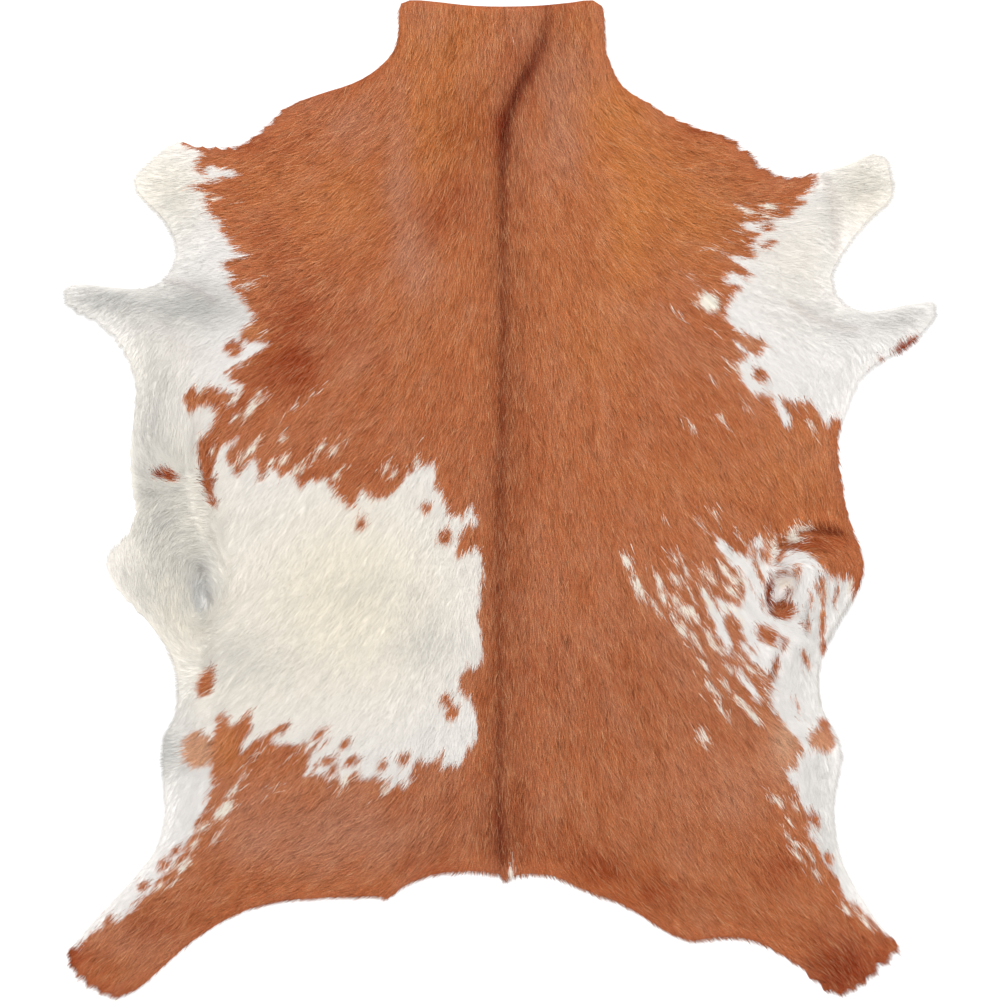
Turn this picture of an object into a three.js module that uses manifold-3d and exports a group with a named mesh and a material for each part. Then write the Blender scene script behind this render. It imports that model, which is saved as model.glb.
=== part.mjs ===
// A whole tanned goatskin with its hair on, laid flat as a rug.
//
// Millimetres, +Z up, the neck towards +Y and the hind legs towards -Y. The hide
// is one piece: leather with the nap of hair that lies on it, one sheet that is
// thick in the middle and thin at its rim, with the outline, the creases and the
// swells of a real skin. It rests on a flat underside, hollow below its ridges.

import * as THREE from "three";
import { mergeVertices } from "three/addons/utils/BufferGeometryUtils.js";
import Module from "manifold-3d";

const wasm = await Module();
wasm.setup();

// Thickness of leather and nap together, in the middle and at the rim
const NAP_THICKNESS = 6.2;
const RIM_THICKNESS = 2.4;
const RIM_WIDTH = 26;

// Slow unevenness of a skin that has dried on a frame and been softened
const WAVE_HEIGHT = 0.7;
const WAVE_LENGTH_ACROSS = 173;
const WAVE_LENGTH_ALONG = 227;
const WAVE_START = { across: 0.6, along: 1.1 };

// Share of a ridge's height that is left where it runs out at the rim
const RIM_LIFT = 0.45;

// Spacing of the relief's points, of the plain outline's points and of its locks
const RELIEF_STEP = 15;
const OUTLINE_STEP = 10;
const LOCK_PITCH = 13;

// A lift smaller than this leaves the underside flat on the floor
const FLAT_LIFT = 1.5;
const TALLEST = 40;

const HAIR_COLOUR = 0xb0623c;
const HAIR_ROUGHNESS = 0.82;

// The outline, clockwise from the neck's left corner, one table for each part of
// the skin. locks is how far the rim's small locks of hair stand out there, and
// lean is how far along it, from 0 to 1, each lock has its tip.
const OUTLINE = [
  {
    part: "neck",
    locks: 0,
    points: [
      { x: -90, y: 445 },
      { x: -82, y: 448 },
      { x: -62, y: 447 },
      { x: -22, y: 443 },
      { x: 28, y: 443 },
      { x: 64, y: 446 },
      { x: 83, y: 448 },
      { x: 91, y: 443 },
      { x: 94, y: 418 },
      { x: 95, y: 401 },
      { x: 101, y: 385 },
      { x: 110, y: 370 },
    ],
  },
  {
    part: "right shoulder",
    locks: 1.8,
    lean: 0.64,
    points: [
      { x: 128, y: 358 },
      { x: 148, y: 345 },
      { x: 172, y: 335 },
    ],
  },
  {
    part: "point of the right shoulder",
    locks: 3.5,
    lean: 0.64,
    points: [
      { x: 203, y: 325 },
      { x: 216, y: 315 },
      { x: 226, y: 310 },
      { x: 231, y: 298 },
      { x: 246, y: 291 },
      { x: 257, y: 288 },
    ],
  },
  {
    part: "upper right lobe",
    locks: 0,
    points: [
      { x: 284, y: 292 },
      { x: 308, y: 299 },
      { x: 336, y: 310 },
      { x: 347, y: 306 },
      { x: 352, y: 291 },
      { x: 353, y: 270 },
      { x: 333, y: 250 },
      { x: 312, y: 224 },
      { x: 299, y: 199 },
      { x: 301, y: 185 },
      { x: 310, y: 174 },
      { x: 332, y: 168 },
    ],
  },
  {
    part: "right foreleg",
    locks: 0,
    points: [
      { x: 364, y: 174 },
      { x: 382, y: 177 },
      { x: 391, y: 176 },
      { x: 392, y: 164 },
      { x: 385, y: 153 },
      { x: 365, y: 134 },
      { x: 344, y: 123 },
      { x: 322, y: 104 },
      { x: 311, y: 76 },
    ],
  },
  {
    part: "right flank",
    locks: 1.5,
    lean: 0.64,
    points: [
      { x: 304, y: 54 },
      { x: 306, y: 14 },
      { x: 313, y: -18 },
      { x: 324, y: -48 },
      { x: 326, y: -64 },
      { x: 319, y: -85 },
      { x: 301, y: -117 },
      { x: 288, y: -143 },
    ],
  },
  {
    part: "right hind leg, outer edge",
    locks: 0,
    points: [
      { x: 286, y: -168 },
      { x: 290, y: -190 },
      { x: 304, y: -217 },
      { x: 307, y: -231 },
      { x: 301, y: -261 },
      { x: 300, y: -292 },
      { x: 305, y: -322 },
      { x: 324, y: -359 },
      { x: 343, y: -386 },
    ],
  },
  {
    part: "right foot",
    locks: 3.5,
    lean: 0.5,
    points: [
      { x: 357, y: -400 },
      { x: 351, y: -410 },
      { x: 338, y: -419 },
      { x: 330, y: -431 },
      { x: 312, y: -443 },
      { x: 299, y: -443 },
    ],
  },
  {
    part: "right hind leg, inner edge",
    locks: 0,
    points: [
      { x: 273, y: -424 },
      { x: 241, y: -404 },
      { x: 221, y: -397 },
      { x: 195, y: -396 },
      { x: 174, y: -399 },
      { x: 155, y: -393 },
      { x: 112, y: -367 },
      { x: 77, y: -354 },
      { x: 47, y: -341 },
      { x: 20, y: -340 },
    ],
  },
  {
    part: "tail",
    locks: 0,
    points: [
      { x: 10, y: -342 },
      { x: 3, y: -346 },
      { x: -1, y: -340 },
    ],
  },
  {
    part: "left hind leg, inner edge",
    locks: 0,
    points: [
      { x: -15, y: -338 },
      { x: -42, y: -337 },
      { x: -68, y: -341 },
      { x: -90, y: -351 },
      { x: -103, y: -361 },
      { x: -112, y: -359 },
      { x: -165, y: -360 },
      { x: -205, y: -364 },
      { x: -235, y: -373 },
      { x: -277, y: -398 },
      { x: -328, y: -442 },
    ],
  },
  {
    part: "left foot",
    locks: 3,
    lean: 0.5,
    points: [
      { x: -340, y: -447 },
      { x: -353, y: -446 },
      { x: -375, y: -431 },
      { x: -388, y: -416 },
    ],
  },
  {
    part: "left hind leg, outer edge",
    locks: 0,
    points: [
      { x: -383, y: -401 },
      { x: -359, y: -373 },
      { x: -327, y: -338 },
      { x: -309, y: -312 },
      { x: -302, y: -284 },
      { x: -305, y: -240 },
      { x: -303, y: -213 },
      { x: -295, y: -200 },
      { x: -292, y: -170 },
      { x: -299, y: -137 },
    ],
  },
  {
    part: "left flank",
    locks: 1.5,
    lean: 0.36,
    points: [
      { x: -322, y: -105 },
      { x: -349, y: -74 },
      { x: -353, y: -52 },
      { x: -334, y: -31 },
      { x: -327, y: -12 },
      { x: -331, y: 8 },
      { x: -332, y: 50 },
      { x: -327, y: 97 },
      { x: -334, y: 122 },
      { x: -348, y: 145 },
    ],
  },
  {
    part: "left foreleg",
    locks: 3,
    lean: 0.36,
    points: [
      { x: -366, y: 160 },
      { x: -384, y: 171 },
      { x: -393, y: 183 },
    ],
  },
  {
    part: "upper left lobe",
    locks: 0,
    points: [
      { x: -383, y: 192 },
      { x: -340, y: 189 },
      { x: -312, y: 191 },
      { x: -297, y: 206 },
      { x: -293, y: 224 },
      { x: -302, y: 246 },
      { x: -329, y: 276 },
      { x: -331, y: 286 },
      { x: -311, y: 307 },
      { x: -297, y: 318 },
      { x: -286, y: 321 },
    ],
  },
  {
    part: "left shoulder",
    locks: 3,
    lean: 0.36,
    points: [
      { x: -272, y: 315 },
      { x: -239, y: 314 },
      { x: -228, y: 321 },
      { x: -206, y: 338 },
    ],
  },
  {
    part: "left side of the neck",
    locks: 0,
    points: [
      { x: -192, y: 352 },
      { x: -165, y: 363 },
      { x: -134, y: 373 },
      { x: -117, y: 382 },
      { x: -102, y: 395 },
      { x: -94, y: 408 },
      { x: -92, y: 426 },
    ],
  },
];

// Creases and ridges: each runs from (x1, y1) to (x2, y2), bowed to its left by
// bow, and fades over reach to each side. rise is up where it is positive.
const CREASES = [
  { name: "neck fold", x1: 44, y1: 432, x2: 4, y2: 296, bow: -9, reach: 13, rise: -3.2 },
  { name: "neck ridge", x1: 64, y1: 424, x2: 30, y2: 312, bow: -12, reach: 20, rise: 3.6 },
  { name: "backbone", x1: 2, y1: 296, x2: 0, y2: -330, bow: 2, reach: 15, rise: -1.3 },
  { name: "left of the backbone", x1: -34, y1: 330, x2: -36, y2: -300, bow: 5, reach: 40, rise: 0.9 },
  { name: "right of the backbone", x1: 36, y1: 290, x2: 34, y2: -300, bow: -5, reach: 40, rise: 0.9 },
  { name: "left flank fold", x1: -274, y1: 76, x2: -250, y2: -58, bow: -7, reach: 13, rise: -3.0 },
  { name: "left flank ridge", x1: -296, y1: 70, x2: -282, y2: -44, bow: 8, reach: 22, rise: 3.6 },
  { name: "left flank valley", x1: -262, y1: -84, x2: -264, y2: -168, bow: 5, reach: 18, rise: -2.2 },
  { name: "left thigh ridge", x1: -292, y1: -70, x2: -282, y2: -150, bow: -9, reach: 20, rise: 3.0 },
  { name: "left foreleg ridge", x1: -372, y1: 180, x2: -286, y2: 158, bow: 4, reach: 19, rise: 3.2 },
  { name: "left armpit", x1: -296, y1: 196, x2: -262, y2: 180, bow: 2, reach: 12, rise: -2.2 },
  { name: "left lobe ridge", x1: -312, y1: 286, x2: -262, y2: 236, bow: 8, reach: 20, rise: 2.6 },
  { name: "left leg ridge", x1: -276, y1: -236, x2: -352, y2: -412, bow: -16, reach: 26, rise: 2.8 },
  { name: "right lobe crease", x1: 292, y1: 292, x2: 301, y2: 226, bow: 5, reach: 12, rise: -2.6 },
  { name: "right lobe ridge", x1: 262, y1: 252, x2: 336, y2: 284, bow: 6, reach: 20, rise: 2.4 },
  { name: "right armpit crease", x1: 262, y1: 178, x2: 322, y2: 150, bow: -5, reach: 12, rise: -2.4 },
  { name: "right foreleg ridge", x1: 372, y1: 160, x2: 296, y2: 122, bow: -4, reach: 19, rise: 2.8 },
  { name: "right flank fold", x1: 258, y1: -14, x2: 308, y2: -30, bow: 4, reach: 12, rise: -3.2 },
  { name: "right flank ridge", x1: 262, y1: 8, x2: 300, y2: -4, bow: 4, reach: 16, rise: 2.2 },
  { name: "right thigh ridge", x1: 292, y1: -52, x2: 268, y2: -126, bow: 12, reach: 18, rise: 3.2 },
  { name: "right leg ridge", x1: 268, y1: -236, x2: 328, y2: -412, bow: 18, reach: 26, rise: 2.8 },
];

// Swells and hollows, round or oval. across and along are half widths.
const SWELLS = [
  { name: "left whorl", x: -266, y: -70, across: 16, along: 20, rise: -2.6 },
  { name: "right whorl", x: 255, y: -76, across: 13, along: 24, rise: -3.6 },
  { name: "left hock", x: -286, y: -222, across: 20, along: 24, rise: 4.2 },
  { name: "right hock", x: 288, y: -222, across: 20, along: 24, rise: 4.2 },
  { name: "left flank lobe", x: -330, y: -58, across: 22, along: 22, rise: 3.4 },
  { name: "right flank lobe", x: 304, y: -66, across: 18, along: 26, rise: 3.4 },
  { name: "loin hollow", x: -84, y: -146, across: 34, along: 30, rise: -1.2 },
  { name: "left shoulder swell", x: -150, y: 300, across: 70, along: 46, rise: 1.6 },
  { name: "right shoulder swell", x: 160, y: 270, across: 70, along: 46, rise: 1.6 },
  { name: "left haunch swell", x: -150, y: -270, across: 80, along: 50, rise: 1.4 },
  { name: "right haunch swell", x: 150, y: -290, across: 80, along: 50, rise: 1.4 },
  { name: "neck's left corner", x: -74, y: 432, across: 20, along: 16, rise: 1.8 },
];

// Eases from 0 to 1 as share goes from 0 to 1.
function ease(share) {
  const held = Math.min(1, Math.max(0, share));
  return held * held * (3 - 2 * held);
}

// An uneven factor between 0.55 and 1.45 for the lock with this number.
function unevenness(index) {
  return 1 + 0.3 * Math.sin(index * 2.4) + 0.15 * Math.sin(index * 5.9 + 1);
}

// A point of the curve, pushed outward by reach. The outline runs clockwise.
function rimPoint(curve, at, reach) {
  const place = curve.getPoint(at);
  const along = curve.getTangent(at);
  return new THREE.Vector2(place.x - along.y * reach, place.y + along.x * reach);
}

// The whole outline: plain stretches in even steps, and between them stretches
// with a lock of hair about every LOCK_PITCH.
function makeOutline() {
  const rows = OUTLINE.flatMap(({ points, ...part }) => points.map((point) => ({ ...part, ...point })));
  const knots = rows.map((row) => new THREE.Vector3(row.x, row.y, 0));
  const curve = new THREE.CatmullRomCurve3(knots, true, "centripetal");
  const outline = [];
  rows.forEach((row, index) => {
    const next = knots[(index + 1) % knots.length];
    const span = knots[index].distanceTo(next);
    const pitch = row.locks > 0 ? LOCK_PITCH : OUTLINE_STEP;
    const count = Math.max(1, Math.round(span / pitch));
    for (let step = 0; step < count; step += 1) {
      outline.push(rimPoint(curve, (index + step / count) / rows.length, 0));
      if (row.locks > 0) {
        const reach = row.locks * unevenness(outline.length);
        outline.push(rimPoint(curve, (index + (step + row.lean) / count) / rows.length, reach));
      }
    }
  });
  return outline;
}

// Distance from a place to the nearest point of the outline, below 0 outside it.
function rimDistance(outline, x, y) {
  let nearest = Infinity;
  let inside = false;
  outline.forEach((end, index) => {
    const start = outline[(index + outline.length - 1) % outline.length];
    const dx = end.x - start.x;
    const dy = end.y - start.y;
    const share = ((x - start.x) * dx + (y - start.y) * dy) / (dx * dx + dy * dy);
    const held = Math.min(1, Math.max(0, share));
    nearest = Math.min(nearest, Math.hypot(x - start.x - held * dx, y - start.y - held * dy));
    const crosses = start.y > y !== end.y > y;
    if (crosses && x < start.x + ((y - start.y) / dy) * dx) {
      inside = !inside;
    }
  });
  return inside ? nearest : -nearest;
}

// What one crease adds to the height at a place.
function creaseAt(crease, x, y) {
  const dx = crease.x2 - crease.x1;
  const dy = crease.y2 - crease.y1;
  const span = Math.hypot(dx, dy);
  const share = ((x - crease.x1) * dx + (y - crease.y1) * dy) / (span * span);
  const aside = ((y - crease.y1) * dx - (x - crease.x1) * dy) / span;
  const held = Math.min(1, Math.max(0, share));
  const fromLine = aside - crease.bow * 4 * held * (1 - held);
  const pastEnd = (share - held) * span;
  const away = Math.hypot(fromLine, pastEnd) / crease.reach;
  return crease.rise * Math.exp(-away * away);
}

// What one swell adds to the height at a place.
function swellAt(swell, x, y) {
  const away = Math.hypot((x - swell.x) / swell.across, (y - swell.y) / swell.along);
  return swell.rise * Math.exp(-away * away);
}

function sum(values) {
  return values.reduce((total, value) => total + value, 0);
}

// How far ridges, swells and the slow waves lift the sheet off the floor.
function liftAt(x, y) {
  const ridges = CREASES.filter((crease) => crease.rise > 0).map((crease) => creaseAt(crease, x, y));
  const swells = SWELLS.filter((swell) => swell.rise > 0).map((swell) => swellAt(swell, x, y));
  const across = Math.sin((x / WAVE_LENGTH_ACROSS) * 2 * Math.PI + WAVE_START.across);
  const along = Math.sin((y / WAVE_LENGTH_ALONG) * 2 * Math.PI + WAVE_START.along);
  return sum(ridges) + sum(swells) + (WAVE_HEIGHT * (1 + across * along)) / 2;
}

// How far the troughs and hollows press the nap down, below 0.
function pressAt(x, y) {
  const troughs = CREASES.filter((crease) => crease.rise < 0).map((crease) => creaseAt(crease, x, y));
  const hollows = SWELLS.filter((swell) => swell.rise < 0).map((swell) => swellAt(swell, x, y));
  return sum(troughs) + sum(hollows);
}

// The hair side: the sheet's thickness, thin at the rim, on what lifts it.
function topAt(outline, x, y) {
  const inward = ease(rimDistance(outline, x, y) / RIM_WIDTH);
  const thickness = RIM_THICKNESS + (NAP_THICKNESS - RIM_THICKNESS) * inward;
  const pressed = Math.max(thickness + pressAt(x, y) * inward, RIM_THICKNESS);
  return pressed + liftAt(x, y) * (RIM_LIFT + (1 - RIM_LIFT) * inward);
}

// The flesh side: it leaves the floor only where the lift is more than slight.
function underAt(outline, x, y) {
  const inward = ease((rimDistance(outline, x, y) - OUTLINE_STEP) / RIM_WIDTH);
  return liftAt(x, y) * inward - FLAT_LIFT;
}

// A closed block whose top follows heightAt, on an even grid that covers the
// whole outline, and whose bottom is flat at floorLevel.
function makeBlock(box, heightAt, floorLevel) {
  const columns = Math.ceil((box.max.x - box.min.x) / RELIEF_STEP) + 2;
  const rows = Math.ceil((box.max.y - box.min.y) / RELIEF_STEP) + 2;
  const places = [];
  for (const level of ["top", "bottom"]) {
    for (let row = 0; row <= rows; row += 1) {
      for (let column = 0; column <= columns; column += 1) {
        const x = box.min.x + (column - 1) * RELIEF_STEP;
        const y = box.min.y + (row - 1) * RELIEF_STEP;
        places.push(x, y, level === "top" ? heightAt(x, y) : floorLevel);
      }
    }
  }
  const across = columns + 1;
  const below = across * (rows + 1);
  const faces = [];
  const addQuad = (a, b, c, d) => faces.push(a, b, c, a, c, d);
  for (let row = 0; row < rows; row += 1) {
    for (let column = 0; column < columns; column += 1) {
      const a = row * across + column;
      const b = a + 1;
      const c = b + across;
      const d = a + across;
      addQuad(a, b, c, d);
      addQuad(below + d, below + c, below + b, below + a);
    }
  }
  const rim = [];
  for (let column = 0; column < columns; column += 1) rim.push(column);
  for (let row = 0; row < rows; row += 1) rim.push(row * across + columns);
  for (let column = columns; column > 0; column -= 1) rim.push(rows * across + column);
  for (let row = rows; row > 0; row -= 1) rim.push(row * across);
  rim.forEach((start, index) => {
    const end = rim[(index + 1) % rim.length];
    addQuad(start, below + start, below + end, end);
  });
  const geometry = new THREE.BufferGeometry();
  geometry.setAttribute("position", new THREE.Float32BufferAttribute(places, 3));
  geometry.setIndex(faces);
  return geometry;
}

function makePrism(outline) {
  const shape = new THREE.Shape(outline);
  return new THREE.ExtrudeGeometry(shape, { depth: TALLEST, bevelEnabled: false });
}

function toManifold(geometry) {
  const bare = geometry.clone();
  bare.deleteAttribute("normal");
  bare.deleteAttribute("uv");
  const merged = mergeVertices(bare);
  return new wasm.Manifold(new wasm.Mesh({
    numProp: 3,
    vertProperties: new Float32Array(merged.attributes.position.array),
    triVerts: new Uint32Array(merged.index.array),
  }));
}

function toGeometry(manifold) {
  const mesh = manifold.getMesh();
  const geometry = new THREE.BufferGeometry();
  geometry.setAttribute("position", new THREE.BufferAttribute(mesh.vertProperties, 3));
  geometry.setIndex(new THREE.BufferAttribute(mesh.triVerts, 1));
  geometry.computeVertexNormals();
  return geometry;
}

// The hide: the outline's prism, below its hair side and above its flesh side,
// moved so that the middle of its box stands over the origin.
function makeHide() {
  const outline = makeOutline();
  const box = new THREE.Box2().setFromPoints(outline);
  const belowTop = makeBlock(box, (x, y) => topAt(outline, x, y), -TALLEST);
  const belowFlesh = makeBlock(box, (x, y) => underAt(outline, x, y), -TALLEST);
  const sheet = toManifold(makePrism(outline)).intersect(toManifold(belowTop));
  const hide = toGeometry(sheet.subtract(toManifold(belowFlesh)));
  const middle = box.getCenter(new THREE.Vector2());
  hide.translate(-middle.x, -middle.y, 0);
  return hide;
}

const hair = new THREE.MeshStandardMaterial({
  color: HAIR_COLOUR,
  roughness: HAIR_ROUGHNESS,
  metalness: 0,
});

const hide = new THREE.Mesh(makeHide(), hair);
hide.name = "goat_hide";

const rug = new THREE.Group();
rug.add(hide);

export default rug;
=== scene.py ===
"""Looks of a hair-on goatskin rug: its leather, its coat of hair and its markings.

The tables are in millimetres on the hide, from its middle: +X to the right as seen
from above, +Y towards the neck. The hair's headings are in degrees, 0 straight down
the hide towards the tail, 90 to the right and -90 to the left.
"""

import logging
from dataclasses import dataclass
from enum import Enum

import bmesh
import bpy
import numpy as np
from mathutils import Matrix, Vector
from mathutils.bvhtree import BVHTree
from mathutils.geometry import delaunay_2d_cdt


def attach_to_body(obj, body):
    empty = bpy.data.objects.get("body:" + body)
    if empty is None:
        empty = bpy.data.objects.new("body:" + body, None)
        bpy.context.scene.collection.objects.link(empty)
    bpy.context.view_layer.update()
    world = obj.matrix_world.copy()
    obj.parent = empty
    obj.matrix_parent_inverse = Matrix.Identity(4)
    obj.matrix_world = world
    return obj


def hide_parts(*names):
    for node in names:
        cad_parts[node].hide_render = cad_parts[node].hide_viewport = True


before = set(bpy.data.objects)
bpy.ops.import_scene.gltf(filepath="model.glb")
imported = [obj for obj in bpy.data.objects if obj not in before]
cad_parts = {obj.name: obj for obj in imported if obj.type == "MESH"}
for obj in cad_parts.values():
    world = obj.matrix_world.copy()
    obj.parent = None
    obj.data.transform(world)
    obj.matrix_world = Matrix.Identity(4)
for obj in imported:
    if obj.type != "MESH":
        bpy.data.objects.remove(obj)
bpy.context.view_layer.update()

LOG = logging.getLogger("goatskin_rug")

MM = 0.001
HIDE_NODE = "goat_hide"
BODY = "root"

# The solid's own sizes: leather and nap together, in the middle and at the rim
NAP_THICKNESS = 6.2
RIM_THICKNESS = 2.4
RIM_WIDTH = 26.0

LEATHER_THICKNESS = 1.7
WAVE_HEIGHT = 0.7


class Region(Enum):
    """The bands of the coat, each one piece, by the lowest y that it covers."""

    NECK = ("hair_neck_and_shoulders", 190.0)
    CHEST = ("hair_chest", 40.0)
    BACK = ("hair_back", -100.0)
    LOINS = ("hair_loins", -235.0)
    HAUNCHES = ("hair_haunches_and_legs", -1000.0)

    @property
    def piece(self) -> str:
        """The name of the region's piece."""
        return self.value[0]

    @property
    def lowest(self) -> float:
        """The y where the region ends, towards the tail."""
        return self.value[1]


class Shade(Enum):
    """The soft shades that the brown and the white hair take on."""

    ORANGE = "orange"
    DEEP = "deep"
    ROSE = "rose"
    TAN = "tan"
    CREAM = "cream"
    # grey: partly the white hair's own grey where it is thin, partly painted shade in hollows, creases and
    # towards the rims
    GREY = "grey"


@dataclass(frozen=True)
class Guide:
    """Which way the hair lies at one place."""

    x: float
    y: float
    heading: float


@dataclass(frozen=True)
class Whorl:
    """A place where the hair winds clockwise, outwards or, below 0, inwards."""

    x: float
    y: float
    across: float
    along: float
    outward: float


@dataclass(frozen=True)
class Crease:
    """A soft trough or ridge from one place to another, bowed to its left."""

    x1: float
    y1: float
    x2: float
    y2: float
    bow: float
    reach: float
    rise: float
    # shade darkens the coat along the crease: painted shade in a trough, and at the right whorl's eye the
    # hair's own darker tint
    shade: float = 0.0


@dataclass(frozen=True)
class Fold:
    """A thin shadow in a fold of the coat, straight from one place to another."""

    x1: float
    y1: float
    x2: float
    y2: float
    width: float
    depth: float


@dataclass(frozen=True)
class Mark:
    """A fleck or spot of the other colour, drawn out along the hair.

    heading overrides the hair's own where it is given, tan makes a brown spot pale
    and fuzzy, and faint leaves only some of the hair in the other colour.
    """

    x: float
    y: float
    length: float
    width: float
    heading: float | None = None
    tan: float = 0.0
    faint: float = 0.0


@dataclass(frozen=True)
class Tone:
    """A soft patch of a shade, with its half widths and its strength."""

    x: float
    y: float
    across: float
    along: float
    amount: float


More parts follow.
